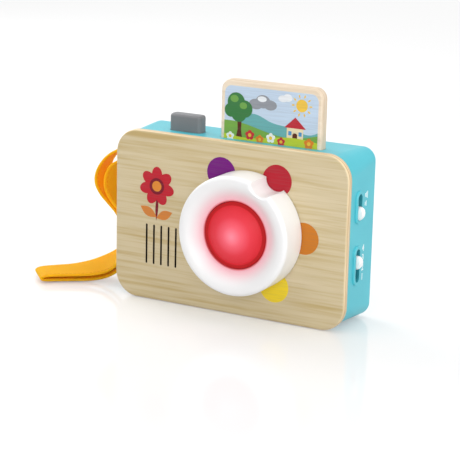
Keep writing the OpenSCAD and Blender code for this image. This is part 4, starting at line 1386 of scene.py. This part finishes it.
@dataclass
class FrontPanel:
    """The wooden front panel with its sound slots and its print."""

    width: float = 150.0
    height: float = 101.0
    thick: float = 5.0
    corner: float = 14.5
    edge: float = 1.2
    slot_x: float = -43.7
    slot_z: float = 33.8
    slot_pitch: float = 4.95
    slot_width: float = 1.2
    slot_length: float = 24.0
    slot_count: int = 5
    dial: Flat = (13.2, 51.5)
    dot_ring: float = 35.6
    dot: float = 9.2
    ink: float = 0.05
    dots: Sequence[tuple[float, str, Colour]] = (
        (0, "orange", paint(204, 122, 34)), (60, "red", paint(180, 30, 46)),
        (120, "purple", paint(116, 18, 124)), (300, "yellow", paint(242, 212, 48)),
    )
    flower: Flat = (-47.0, 69.0)
    petals: int = 7
    petal_ring: float = 6.6
    petal: Flat = (5.0, 3.5)
    hearts: Flat = (4.9, 3.1)
    stem: tuple[Flat, Flat, float] = ((-47.2, 48.5), (-46.6, 64.0), 1.9)
    leaves: Sequence[tuple[Flat, Flat, float]] = (
        ((-47.0, 50.5), (-58.0, 56.0), 5.4), ((-47.0, 50.0), (-36.5, 54.5), 5.4),
    )
    layer: float = 0.012

    def build(self) -> Piece:
        """Models the panel.

        Returns:
            The panel.
        """
        half = self.thick / 2
        panel = Bench.prism(
            "front_panel_wood", Axis.Y, (-self.width / 2, -half, 0), (self.width / 2, half, self.height),
            self.corner, 20,
        )
        for level in (-half, half):
            Bench.round_rim(panel, Axis.Y, level, self.edge, 4)
        for i in range(self.slot_count):
            x = self.slot_x + (i - (self.slot_count - 1) / 2) * self.slot_pitch
            wide, high = self.slot_width / 2, self.slot_length / 2
            tool = Bench.prism(
                "slot_tool", Axis.Y, (x - wide, -self.thick, self.slot_z - high),
                (x + wide, self.thick, self.slot_z + high), wide - 0.01, 6,
            )
            Bench.combine(panel, tool, Join.CUT)
        Bench.smooth(panel)
        Bench.dress(panel, WoodFinish("panel_wood", 0.0, 1.05).material())
        self.stain_slots(panel)
        Bench.hand_over(panel, Body.CASE, "wood", "front_panel")
        return panel

    def stain_slots(self, panel: Piece) -> None:
        """Paints shade on the walls of the sound slots: a near-black painted shade for the dark inside of
        the slots.

        Args:
            panel: The panel with its slots cut.
        """
        # Painted shade: a near-black colour on the slot walls.
        panel.data.materials.append(InkFinish("sound_slot_painted_shade", paint(24, 13, 6)).material())
        reach = (self.slot_count - 1) / 2 * self.slot_pitch + self.slot_width
        for face in panel.data.polygons:
            x, _, z = face.center / MM
            inside = abs(x - self.slot_x) < reach and abs(z - self.slot_z) < self.slot_length / 2 + 0.1
            if inside and abs(face.normal.y) < 0.5:
                face.material_index = 1

    def print_dots(self) -> None:
        """Prints the coloured dots that the dial points at."""
        discs = []
        for turn, name, colour in self.dots:
            middle = Outline.around(self.dial, self.dot_ring, turn)
            outline = Outline.oval(middle, self.dot, self.dot, count=64)
            disc = Bench.plate(f"dot_{name}", outline, Face.FRONT, -self.thick / 2, self.ink)
            Bench.dress(disc, InkFinish(f"ink_{name}", colour).material())
            discs.append(disc)
        dots = Bench.joined("panel_dots", discs)
        Bench.hand_over(dots, Body.CASE, "print_ink")

    def print_flower(self) -> None:
        """Prints a plain flower on the panel's left side."""
        level = -self.thick / 2
        red, maroon, orange, leaf = (
            InkFinish(f"flower_{name}", colour).material() for name, colour in (
                ("red", paint(192, 32, 48)), ("maroon", paint(122, 18, 38)),
                ("orange", paint(226, 140, 52)), ("leaf", paint(214, 132, 60)),
            )
        )
        shapes = [(Outline.blade(*self.stem), maroon, 1)]
        shapes += [(Outline.blade(*one), leaf, 2) for one in self.leaves]
        for i in range(self.petals):
            turn = 360 * i / self.petals + 90
            middle = Outline.around(self.flower, self.petal_ring, turn)
            shapes.append((Outline.oval(middle, *self.petal, turn), red, 3 + i))
        for size, material, step in zip(self.hearts, (maroon, orange), (4, 5)):
            shapes.append((Outline.oval(self.flower, size, size), material, self.petals + step))
        plates = []
        for outline, material, step in shapes:
            plate = Bench.plate("petal", outline, Face.FRONT, level, self.ink + self.layer * step)
            Bench.dress(plate, material)
            plates.append(plate)
        flower = Bench.joined("panel_flower", plates)
        Bench.hand_over(flower, Body.CASE, "print_ink")


@dataclass
class RearShell:
    """The moulded rear shell, its switch rims, its openings and its battery door."""

    half_width: float = 74.0
    front: float = 2.5
    back: float = 37.5
    low: float = 1.0
    high: float = 100.0
    corner: float = 13.5
    back_corner: float = 8.0
    edge: float = 3.0
    wall: float = 2.4
    board_slot: tuple[Point, Point] = ((-13.45, 10.3, 96.0), (51.85, 17.6, 102.0))
    button_hole: tuple[Point, Point] = ((-48.5, 11.8, 96.0), (-26.7, 20.6, 102.0))
    strap_gate: tuple[Point, Point] = ((-76.0, 9.9, 77.7), (-71.0, 30.1, 87.3))
    switch_y: float = 14.0
    slot_width: float = 5.0
    slots: Sequence[tuple[float, float]] = ((69.6, 15.4), (35.9, 19.3))
    rim: float = 1.9
    rim_face: float = 75.1
    wells: Sequence[Flat] = ((-63.5, 11.0), (63.5, 11.0), (-57.0, 91.0), (63.5, 91.0))
    well_depth: float = 12.0
    well_radius: float = 3.1
    boss: float = 4.0
    door: Flat = (13.2, 30.0)
    door_half: Flat = (33.25, 19.75)
    door_corner: float = 4.0
    door_thick: float = 1.4
    door_gap: float = 0.2
    door_screw: float = 29.25
    screw_hole: float = 1.15
    screw_seat: float = 2.2
    seat_deep: float = 0.7
    grooves: int = 5
    groove_pitch: float = 3.0
    groove_half: Flat = (0.6, 6.0)
    groove_deep: float = 0.5
    feet_x: float = 45.0
    foot_y: Flat = (27.5, 34.5)
    foot_half: float = 8.0
    foot_top: float = 1.6
    volume_marks: Sequence[float] = (65.3, 70.1, 75.0)
    mode_marks: Sequence[float] = (27.6, 33.2, 38.9, 44.4)
    bar_y: float = 22.4
    bar_pitch: float = 1.4
    bar_width: float = 0.8
    numeral_y: float = 22.8
    numeral_size: float = 5.4
    numeral_drop: float = 1.9
    ink: float = 0.05
    shell_finish: MouldedFinish = field(
        default_factory=lambda: MouldedFinish("shell_cyan", paint(80, 193, 207), paint(75, 188, 203))
    )

    def build(self) -> Piece:
        """Models the shell.

        Returns:
            The shell.
        """
        shell = Bench.prism(
            "rear_shell_moulded", Axis.Y, (-self.half_width, self.back - self.edge - 0.5, self.low),
            (self.half_width, self.back, self.high), self.back_corner, 20,
        )
        Bench.round_rim(shell, Axis.Y, self.back, self.edge, 6)
        mouth = Bench.prism(
            "mouth", Axis.Y, (-self.half_width, self.front, self.low),
            (self.half_width, self.front + 0.5, self.high), self.corner, 20,
        )
        shell = Bench.joined("rear_shell_moulded", (shell, mouth))
        Bench.wrap(shell)
        self.hollow(shell)
        for x, z in self.wells:
            boss = Bench.rod("boss", (x, z), (self.front + 0.2, self.back - 1.2), self.boss)
            Bench.combine(shell, boss, Join.ADD)
            well = Bench.rod("well", (x, z), (self.back - self.well_depth, self.back + 1), self.well_radius)
            Bench.combine(shell, well, Join.CUT)
        self.cut_openings(shell)
        Bench.soften(shell, 0.3, 2, 50)
        Bench.clean(shell)
        Bench.smooth(shell)
        material = self.shell_finish.material()
        Bench.dress(shell, material)
        self.shade_slots(shell)
        Bench.hand_over(shell, Body.CASE, "shell_plastic", "rear_shell")
        self.add_door(material)
        self.add_feet()
        return shell

    def hollow(self, shell: Piece) -> None:
        """Opens the shell's front and gives it a wall.

        Args:
            shell: The solid shell.
        """
        Bench.only(shell)
        bpy.ops.object.mode_set(mode="EDIT")
        bpy.ops.mesh.select_mode(type="FACE")
        bpy.ops.mesh.select_all(action="DESELECT")
        mesh = bmesh.from_edit_mesh(shell.data)
        for face in mesh.faces:
            face.select_set(face.normal.y < -0.9)
        bmesh.update_edit_mesh(shell.data)
        bpy.ops.mesh.delete(type="FACE")
        bpy.ops.object.mode_set(mode="OBJECT")
        Bench.modify(shell, "SOLIDIFY", thickness=self.wall * MM, offset=-1)

    def cut_openings(self, shell: Piece) -> None:
        """Adds the switch rims and cuts the shell's openings.

        Args:
            shell: The hollow shell.
        """
        half = self.slot_width / 2
        for z, length in self.slots:
            wide, high = half + self.rim, length / 2 + self.rim
            rim = Bench.prism(
                "rim", Axis.X, (self.half_width - 1.2, self.switch_y - wide, z - high),
                (self.rim_face, self.switch_y + wide, z + high), wide - 0.02, 14,
            )
            Bench.round_rim(rim, Axis.X, self.rim_face, 0.7, 3)
            Bench.combine(shell, rim, Join.ADD)
            slot = Bench.prism(
                "slot", Axis.X, (self.half_width - 4, self.switch_y - half, z - length / 2),
                (self.rim_face + 1, self.switch_y + half, z + length / 2), half - 0.02, 14,
            )
            Bench.combine(shell, slot, Join.CUT)
        for (low, high), axis, radius in (
            (self.board_slot, Axis.Z, 1.9), (self.button_hole, Axis.Z, 2.8), (self.strap_gate, Axis.X, 1.0)
        ):
            Bench.combine(shell, Bench.prism("opening", axis, low, high, radius, 6), Join.CUT)
        wide, high = (h + self.door_gap for h in self.door_half)
        recess = Bench.prism(
            "recess", Axis.Y, (self.door[0] - wide, self.back - self.door_thick, self.door[1] - high),
            (self.door[0] + wide, self.back + 1, self.door[1] + high), self.door_corner + self.door_gap, 8,
        )
        Bench.combine(shell, recess, Join.CUT)
        for x in (-self.feet_x, self.feet_x):
            pocket = Bench.block(
                "pocket", (x - self.foot_half - 0.1, self.foot_y[0] - 0.1, 0),
                (x + self.foot_half + 0.1, self.foot_y[1] + 0.1, self.foot_top),
            )
            Bench.combine(shell, pocket, Join.CUT)

    def shade_slots(self, shell: Piece) -> None:
        """Paints shade on the walls of the switch slots: a darker teal for the shade inside them.

        Args:
            shell: The shell with its slots cut.
        """
        # Painted shade: a darker teal on the slot walls.
        deep = MouldedFinish("switch_slot_painted_shade", paint(54, 160, 174), paint(48, 152, 166))
        shell.data.materials.append(deep.material())
        half = self.slot_width / 2 + 0.05
        for face in shell.data.polygons:
            x, y, z = face.center / MM
            beside = x > self.half_width - 4 and abs(y - self.switch_y) < half and abs(face.normal.x) < 0.6
            if beside and any(abs(z - middle) < length / 2 + 0.05 for middle, length in self.slots):
                face.material_index = 1

    def add_door(self, material: Material) -> None:
        """Models the battery door.

        Args:
            material: The shell's material.
        """
        (x, z), (wide, high) = self.door, self.door_half
        door = Bench.prism(
            "battery_door_moulded", Axis.Y, (x - wide, self.back - self.door_thick, z - high),
            (x + wide, self.back, z + high), self.door_corner, 10,
        )
        for side in (-1, 1):
            place = (x + side * self.door_screw, z)
            for name, deep, radius in (
                ("hole", self.wall, self.screw_hole), ("seat", self.seat_deep, self.screw_seat)
            ):
                tool = Bench.rod(name, place, (self.back - deep, self.back + 1), radius)
                Bench.combine(door, tool, Join.CUT)
        half, tall = self.groove_half
        for i in range(self.grooves):
            at = x + (i - (self.grooves - 1) / 2) * self.groove_pitch
            groove = Bench.prism(
                "groove", Axis.Y, (at - half, self.back - self.groove_deep, z - tall),
                (at + half, self.back + 1, z + tall), half - 0.01, 6,
            )
            Bench.combine(door, groove, Join.CUT)
        Bench.soften(door, 0.22, 2, 50)
        Bench.smooth(door)
        Bench.dress(door, material)
        Bench.hand_over(door, Body.CASE, "shell_plastic", "battery_door")

    def add_feet(self) -> None:
        """Models the two pads under the shell's back."""
        pads = []
        for x in (-self.feet_x, self.feet_x):
            pad = Bench.prism(
                "pad", Axis.Z, (x - self.foot_half, self.foot_y[0], 0),
                (x + self.foot_half, self.foot_y[1], self.foot_top), 1.5, 6,
            )
            Bench.round_rim(pad, Axis.Z, 0.0, 0.3, 2)
            Bench.smooth(pad)
            pads.append(pad)
        feet = Bench.joined("rear_feet_pads", pads)
        rubber = MouldedFinish("pad_rubber", paint(226, 234, 236), paint(216, 226, 229), (0.6, 0.75))
        Bench.dress(feet, rubber.material())
        Bench.hand_over(feet, Body.CASE, "foot_rubber", "rear_feet")

    def print_marks(self) -> None:
        """Prints plain marks beside the two switches."""
        ink = InkFinish("ink_mark", paint(240, 251, 252)).material()
        plates = []
        for row, z in enumerate(self.volume_marks):
            for bar in range(row + 1):
                y = self.bar_y + bar * self.bar_pitch
                high = 1.1 + 0.5 * bar
                outline = Outline.card((y, z - high), (y + self.bar_width, z + high), 0.35, 4)
                plates.append(Bench.plate("bar", outline, Face.RIGHT, self.half_width, self.ink))
        for number, z in enumerate(self.mode_marks, start=1):
            plates.append(self.numeral(str(number), (self.numeral_y, z - self.numeral_drop)))
        for plate in plates:
            Bench.dress(plate, ink)
        marks = Bench.joined("side_marks", plates)
        Bench.hand_over(marks, Body.CASE, "print_ink")

    def numeral(self, text: str, corner: Flat) -> Piece:
        """Makes a plain number for the shell's side.

        Args:
            text: The number.
            corner: Y and Z of its lower left corner.

        Returns:
            The number as a mesh.
        """
        bpy.ops.object.select_all(action="DESELECT")
        bpy.ops.object.text_add()
        made = bpy.context.object
        made.data.body = text
        made.data.size = self.numeral_size * MM
        made.data.offset = 0.12 * MM
        made.data.extrude = 0.035 * MM
        made.data.align_x = "CENTER"
        bpy.ops.object.convert(target="MESH")
        made = bpy.context.object
        made.rotation_euler = (math.pi / 2, 0, math.pi / 2)
        made.location = (self.half_width * MM, corner[0] * MM, corner[1] * MM)
        return Bench.settle(f"numeral_{text}")


@dataclass
class SelectorDial:
    """The white dial with its dished face and thumb notch, and the red dome in its middle."""

    centre: Flat = (13.2, 51.5)
    front: float = -2.5
    radius: float = 34.5
    bore: float = 19.6
    gap: float = 0.6
    height: float = 20.0
    edge: float = 2.6
    land: float = 0.6
    dish: float = 5.0
    wall: float = 2.6
    cavity: float = 24.3
    cavity_top: float = 7.9
    notch_at: float = 37.0
    notch_turn: float = 60.0
    notch: float = 7.2
    flare: float = 1.9
    dome_radius: float = 16.6
    dome_rise: float = 4.5
    flange: float = 19.3
    flange_thick: float = 2.0

    def ahead(self, profile: Sequence[Flat]) -> list[Flat]:
        """Turns distances in front of the panel into Y."""
        return [(r, self.front - d) for r, d in profile]

    def face_profile(self) -> list[Flat]:
        """Draws the dial's outside, from its foot over the rim down to the bore.

        Returns:
            Radius and distance in front of the panel.
        """
        crest = self.radius - self.edge - self.land
        points = [(self.radius, self.gap)]
        for i in range(9):
            a = math.radians(90 * i / 8)
            inward, down = self.edge * (1 - math.cos(a)), self.edge * (1 - math.sin(a))
            points.append((self.radius - inward, self.height - down))
        steps = 18
        for i in range(steps + 1):
            fall = self.dish * (1 - math.cos(math.pi * i / steps)) / 2
            points.append((crest - (crest - self.bore) * i / steps, self.height - fall))
        return points

    def build(self) -> Piece:
        """Models the dial.

        Returns:
            The dial.
        """
        face = self.face_profile()
        low = self.height - self.dish - self.wall
        neck, skirt = self.bore + self.wall, self.radius - self.wall
        inside = [
            (self.bore, self.cavity_top), (neck, self.cavity_top), (neck, low), (neck + 3, low),
            (self.radius - self.edge - self.land - self.wall, self.height - self.wall - 1),
            (skirt, self.height - self.edge - self.wall), (skirt, self.gap),
        ]
        dial = Bench.turned("dial_ring_moulded", self.ahead(face + inside + face[:1]), self.centre, 160)
        core = [(self.bore, self.cavity_top), (self.cavity, self.cavity_top), (self.cavity, self.gap)]
        plug = Bench.turned("plug", self.ahead(face + core + face[:1]), self.centre, 160)
        notch = Outline.around(self.centre, self.notch_at, self.notch_turn)
        ends = (self.front - self.height - 1, self.front)
        post = Bench.rod("post", notch, ends, self.notch + self.wall, 72)
        Bench.combine(plug, post, Join.KEEP)
        Bench.combine(dial, plug, Join.ADD)
        flare_at = self.height - self.flare
        rings = [(self.notch, -0.2), (self.notch, flare_at)]
        for i in range(1, 9):
            t = math.radians(90 * i / 8)
            rings.append((self.notch + self.flare * (1 - math.cos(t)), flare_at + self.flare * math.sin(t)))
        rings.append((self.notch + self.flare, self.height + 2))
        tool = Bench.turned("notch_tool", self.ahead(rings), notch, 96, solid=True)
        Bench.combine(dial, tool, Join.CUT)
        Bench.clean(dial)
        Bench.smooth(dial, 30)
        Bench.dress(dial, DialFinish("dial_white", self.centre).material())
        Bench.hand_over(dial, Body.DIAL, "dial_plastic", "dial_ring")
        return dial

    def build_dome(self) -> Piece:
        """Models the red dome and its flange.

        Returns:
            The dome.
        """
        seat = self.height - self.dish
        sphere = (self.dome_radius ** 2 + self.dome_rise ** 2) / (2 * self.dome_rise)
        span = math.asin(self.dome_radius / sphere)
        middle = seat + self.dome_rise - sphere
        rings = [
            (self.flange, seat - self.flange_thick), (self.flange, seat - 0.3), (self.flange - 0.3, seat),
            (self.dome_radius + 0.5, seat), (self.dome_radius + 0.1, seat + 0.12),
        ]
        for i in range(16, 0, -1):
            a = span * i / 16
            rings.append((sphere * math.sin(a), middle + sphere * math.cos(a)))
        rings.append((0.05, middle + sphere))
        dome = Bench.turned("lens_dome_lit", self.ahead(rings), self.centre, 96, solid=True)
        Bench.smooth(dome, 40)
        Bench.dress(dome, DomeFinish("dome_red", self.centre, self.flange).material())
        Bench.hand_over(dome, Body.CASE, "dome_red", "lens_dome")
        return dome


@dataclass
class ShutterButton:
    """The grey shutter button and the two springs that lift it."""

    low: Point = (-48.1, 12.2, 94.9)
    high: Point = (-27.1, 20.2, 110.0)
    corner: float = 2.4
    edge: float = 1.8
    lap: float = 1.8
    flange_top: float = 97.3
    stem: tuple[Point, Point] = ((-40.6, 13.7, 89.1), (-34.6, 18.7, 95.4))
    spring_x: Flat = (-44.7, -30.5)
    spring_y: float = 16.2
    spring_z: Flat = (80.2, 94.5)
    spring_radius: float = 2.2
    wire: float = 0.35
    curls: int = 5
    spring_seat: float = 79.8
    travel: float = 3.0

    def build(self) -> Piece:
        """Models the button with its flange and stem.

        Returns:
            The button.
        """
        cap = Bench.prism("shutter_button_moulded", Axis.Z, self.low, self.high, self.corner, 8)
        Bench.round_rim(cap, Axis.Z, self.high[2], self.edge, 5)
        flange = Bench.prism(
            "flange", Axis.Z, (self.low[0] - self.lap, self.low[1] - self.lap, self.low[2]),
            (self.high[0] + self.lap, self.high[1] + self.lap, self.flange_top), self.corner + self.lap, 8,
        )
        Bench.combine(cap, flange, Join.ADD)
        Bench.combine(cap, Bench.block("stem", *self.stem), Join.ADD)
        Bench.clean(cap)
        Bench.smooth(cap)
        finish = MouldedFinish(
            "button_grey", paint(123, 124, 127), paint(117, 118, 121), (0.4, 0.5), bump=0.12
        )
        Bench.dress(cap, finish.material())
        Bench.hand_over(cap, Body.SHUTTER, "button_grey", "shutter_button")
        self.add_springs()
        return cap

    def add_springs(self) -> None:
        """Models the springs, which on the real toy shorten as the button goes down."""
        start, end = self.spring_z
        coils = []
        for x in self.spring_x:
            bpy.ops.object.select_all(action="DESELECT")
            bpy.ops.mesh.primitive_circle_add(
                vertices=10,
                radius=self.wire * MM,
                location=((x + self.spring_radius) * MM, self.spring_y * MM, start * MM),
                rotation=(math.pi / 2, 0, 0),
            )
            coil = Bench.settle("coil")
            bpy.ops.object.select_all(action="DESELECT")
            bpy.ops.object.empty_add(location=(x * MM, self.spring_y * MM, start * MM))
            pivot = bpy.context.object
            Bench.modify(
                coil, "SCREW", object=pivot, axis="Z", iterations=self.curls, steps=24, render_steps=24,
                screw_offset=(end - start) / self.curls * MM,
            )
            Bench.discard(pivot)
            Bench.clean(coil)
            coils.append(coil)
        springs = Bench.joined("shutter_spring_coils", coils)
        bpy.ops.object.shade_smooth_by_angle(angle=math.radians(60))
        Bench.dress(springs, MetalFinish("spring_steel", paint(186, 188, 192)).material())
        Bench.hand_over(springs, Body.CASE, "screw_steel", "shutter_springs")
        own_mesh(springs)


@dataclass
class PictureBoard:
    """The sliding wooden board and the plain landscape that is printed on it."""

    low: Point = (-13.05, 10.7, 84.3)
    high: Point = (51.45, 17.2, 134.3)
    corner: float = 6.5
    edge: float = 1.5
    print_low: Flat = (-10.5, 87.0)
    print_high: Flat = (48.7, 130.8)
    print_corner: float = 4.4
    layer: float = 0.02
    sun: Flat = (38.5, 123.6)
    rays: int = 10

    def build(self) -> Piece:
        """Models the board.

        Returns:
            The board.
        """
        board = Bench.prism("picture_board_wood", Axis.Y, self.low, self.high, self.corner, 14)
        for level in (self.low[1], self.high[1]):
            Bench.round_rim(board, Axis.Y, level, self.edge, 4)
        Bench.smooth(board)
        finish = WoodFinish(
            "board_wood", (self.low[1] + self.high[1]) / 2, 1.4, face=paint(238, 220, 197),
            streak=paint(225, 205, 177), pale=paint(243, 228, 208), edge=paint(225, 206, 182),
            edge_streak=paint(214, 193, 165), glue=paint(214, 186, 152),
        )
        Bench.dress(board, finish.material())
        Bench.hand_over(board, Body.PICTURE, "wood", "picture_board")
        return board

    def shapes(self) -> list[tuple[str, Colour, list[list[Flat]]]]:
        """Draws the landscape from its back to its front.

        Returns:
            Name, colour and outlines of each layer.
        """
        sides = (self.print_low[0], self.print_high[0])
        floor = self.print_low[1]
        rays = []
        for i in range(self.rays):
            root, tip = (Outline.around(self.sun, reach, 360 / self.rays * i) for reach in (4.4, 6.6))
            rays.append(Outline.blade(root, tip, 1.0, 6))
        clouds = [
            Outline.oval((x, z), w, h) for x, z, w, h in (
                (9.5, 121.6, 4.4, 3.0), (14.0, 123.4, 4.6, 3.8), (18.6, 121.8, 4.2, 2.9),
                (26.6, 126.4, 3.0, 1.9), (29.6, 127.2, 2.8, 2.2),
            )
        ]
        crown = [
            Outline.oval((x, z), r, r) for x, z, r in (
                (-3.0, 121.4, 5.6), (2.4, 118.0, 5.0), (-6.4, 116.6, 4.0), (-1.2, 115.2, 5.0),
            )
        ]
        crown_light = [
            Outline.oval((x, z), r, r * 0.8) for x, z, r in ((-4.2, 123.4, 2.6), (1.6, 119.8, 2.4))
        ]
        flowers: dict[str, list[list[Flat]]] = {"red": [], "orange": [], "white": [], "heart": []}
        for kind, x, z, size in (
            ("red", 6.2, 103.4, 1.7), ("orange", 12.6, 101.6, 1.5), ("white", 19.6, 103.2, 1.7),
            ("red", 26.2, 101.8, 1.5), ("orange", 43.6, 102.6, 1.8), ("white", -6.4, 101.6, 1.5),
        ):
            for i in range(5):
                middle = Outline.around((x, z), size, 72 * i + 90)
                flowers[kind].append(Outline.oval(middle, size * 0.72, size * 0.72, count=20))
            flowers["heart"].append(Outline.oval((x, z), size * 0.62, size * 0.62, count=20))
        return [
            ("sky", paint(198, 216, 236), [
                Outline.card(self.print_low, self.print_high, self.print_corner),
            ]),
            ("sun", paint(244, 200, 74), [Outline.oval(self.sun, 3.6, 3.6)] + rays),
            ("cloud", paint(150, 154, 162), clouds[:3]),
            ("cloud_light", paint(236, 240, 244), clouds[3:] + [Outline.oval((13.4, 124.8), 2.9, 1.6)]),
            ("far_hill", paint(108, 176, 178), [
                Outline.ridge(
                    sides, floor,
                    lambda x: 111.5 + 3.4 * math.sin(x / 9.0 + 0.4) + 1.2 * math.sin(x / 4.1),
                ),
            ]),
            ("mid_hill", paint(122, 172, 74), [
                Outline.ridge(sides, floor, lambda x: 107.6 + 3.0 * math.sin(x / 12.0 + 2.2)),
            ]),
            ("trunk", paint(92, 42, 26), [
                [(-2.9, 101.0), (1.2, 101.0), (0.5, 106.0), (0.8, 115.0), (-2.2, 115.0), (-1.8, 106.0)],
            ]),
            ("crown", paint(58, 122, 66), crown),
            ("crown_light", paint(112, 166, 78), crown_light),
            ("wall", paint(240, 222, 184), [[(29.6, 102.0), (39.8, 102.0), (39.8, 111.0), (29.6, 111.0)]]),
            ("roof", paint(190, 44, 56), [[(28.0, 110.4), (41.4, 110.4), (34.7, 116.6)]]),
            ("door", paint(92, 42, 26), [Outline.card((33.2, 101.8), (36.2, 107.6), 1.2, 5)]),
            ("window", paint(86, 150, 206), [
                Outline.card((x, 106.2), (x + 2.0, 108.6), 0.4, 3) for x in (30.6, 37.0)
            ]),
            ("near_hill", paint(196, 208, 58), [
                Outline.ridge(sides, floor, lambda x: 103.2 + 1.6 * math.sin(x / 10.0 + 4.4)),
            ]),
            ("flower_red", paint(206, 48, 58), flowers["red"]),
            ("flower_orange", paint(228, 130, 46), flowers["orange"]),
            ("flower_white", paint(244, 244, 240), flowers["white"]),
            ("flower_heart", paint(242, 196, 66), flowers["heart"]),
        ]

    def print_picture(self) -> None:
        """Prints the landscape, one thin layer over the other."""
        plates = []
        for i, (name, colour, outlines) in enumerate(self.shapes()):
            material = InkFinish(f"picture_{name}", colour).material()
            for k, outline in enumerate(outlines):
                rise = self.layer * (i + 1) + 0.0012 * k
                plate = Bench.plate(f"print_{name}", outline, Face.FRONT, self.low[1], rise)
                Bench.dress(plate, material)
                plates.append(plate)
        picture = Bench.joined("board_picture", plates)
        Bench.hand_over(picture, Body.PICTURE, "print_ink")


@dataclass
class SideKnob:
    """A white slide knob with a round back and its carriage in the shell."""

    name: str
    body: Body
    z: float
    y: float = 14.0
    width: float = 4.5
    length: float = 8.0
    end: float = 77.3
    rise: float = 2.2
    carriage: Flat = (69.6, 71.3)
    carriage_half: Flat = (4.0, 5.0)
    prong: float = 3.0

    def build(self, material: Material) -> Piece:
        """Models the knob.

        Args:
            material: The knobs' material.

        Returns:
            The knob.
        """
        wide, high = self.width / 2, self.length / 2
        knob = Bench.prism(
            f"{self.name}_moulded", Axis.X, (self.carriage[1] - 0.5, self.y - wide, self.z - high),
            (self.end + 1, self.y + wide, self.z + high), wide - 0.02, 10,
        )
        arc = (high ** 2 + self.rise ** 2) / (2 * self.rise)
        ends = (self.y - wide - 1, self.y + wide + 1)
        crown = Bench.rod("crown", (self.end - arc, self.z), ends, arc, 96)
        Bench.combine(knob, crown, Join.KEEP)
        Bench.soften(knob, 0.45, 3, 45)
        (inner, outer), (half_y, half_z) = self.carriage, self.carriage_half
        plate = Bench.block(
            "carriage", (inner, self.y - half_y, self.z - half_z), (outer, self.y + half_y, self.z + half_z)
        )
        prong = Bench.block(
            "prong", (inner - self.prong, self.y - 1, self.z - 1), (inner + 0.5, self.y + 1, self.z + 1)
        )
        Bench.combine(knob, plate, Join.ADD)
        Bench.combine(knob, prong, Join.ADD)
        Bench.clean(knob)
        Bench.smooth(knob)
        Bench.dress(knob, material)
        Bench.hand_over(knob, self.body, "knob_white", self.name)
        return knob


@dataclass
class InnerWorks:
    """The nodes that stay as they are and take a finish by the record's slot."""

    finishes: dict[str, object] = field(default_factory=lambda: {
        "dial_plastic": MouldedFinish("inner_white", paint(236, 236, 236), paint(230, 230, 232)),
        "screw_steel": MetalFinish("screw_steel", paint(196, 198, 202)),
        "basket_steel": MetalFinish("basket_steel", paint(176, 180, 186)),
        "contact_brass": MetalFinish("contact_brass", paint(214, 178, 96)),
        "switch_body": MouldedFinish("switch_teal", paint(24, 108, 118), paint(20, 98, 108)),
        "circuit_board": CircuitFinish("circuit_mask"),
        "black_plastic": MouldedFinish("chip_black", paint(34, 34, 36), paint(28, 28, 30), (0.4, 0.55)),
        "cone_paper": MouldedFinish(
            "cone_paper", paint(26, 22, 20), paint(34, 28, 24), (0.8, 0.95), 900, 0.3
        ),
        "foam": MouldedFinish("gasket_foam", paint(40, 38, 38), paint(30, 28, 28), (0.85, 0.95), 700, 0.4),
        "felt": MouldedFinish("brake_felt", paint(78, 78, 80), paint(66, 66, 68), (0.9, 1.0), 900, 0.5),
        "lamp_glass": MouldedFinish(
            "lamp_epoxy", paint(255, 214, 214), paint(250, 204, 206), (0.08, 0.14), coat=0.4
        ),
        "cell_jacket": MouldedFinish(
            "cell_sleeve", paint(70, 112, 172), paint(62, 102, 160), (0.25, 0.35), coat=0.2
        ),
        "magnet_iron": MouldedFinish(
            "magnet_ferrite", paint(92, 94, 98), paint(78, 80, 84), (0.5, 0.7), metal=0.6
        ),
        "inner_plastic": MouldedFinish("inner_grey", paint(214, 220, 223), paint(204, 211, 215)),
        "lead_jacket": MouldedFinish("lead_jacket", paint(176, 48, 48), paint(160, 40, 40), (0.5, 0.6)),
    })

    def dress(self) -> None:
        """Dresses every node that no other piece stands for."""
        slots = {part["node"]: part["material_slot"] for part in frame["record"]["subparts"]}
        made: dict[str, Material] = {}
        for name, node in frame["nodes"].items():
            slot = slots[name]
            if node.hide_render or slot not in self.finishes:
                continue
            if slot not in made:
                made[slot] = self.finishes[slot].material()
            for place in node.material_slots:
                place.material = made[slot]
            log.info("%s keeps its shape and takes %s", name, made[slot].name)


def main() -> None:
    """Builds the studio and the pieces in order."""
    logging.basicConfig(level=logging.INFO, format="%(name)s: %(message)s")
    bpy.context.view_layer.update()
    Studio().build()
    WristStrap().build()
    panel = FrontPanel()
    panel.build()
    panel.print_dots()
    panel.print_flower()
    shell = RearShell()
    shell.build()
    shell.print_marks()
    dial = SelectorDial()
    dial.build()
    dial.build_dome()
    ShutterButton().build()
    board = PictureBoard()
    board.build()
    board.print_picture()
    finish = MouldedFinish(
        "knob_white", paint(253, 253, 253), paint(250, 250, 251), (0.28, 0.36), coat=0.15
    )
    white = finish.material()
    for knob in (SideKnob("volume_knob", Body.VOLUME, 66.15), SideKnob("mode_knob", Body.MODE, 37.7)):
        knob.build(white)
    InnerWorks().dress()


if __name__ == "__main__":
    main()
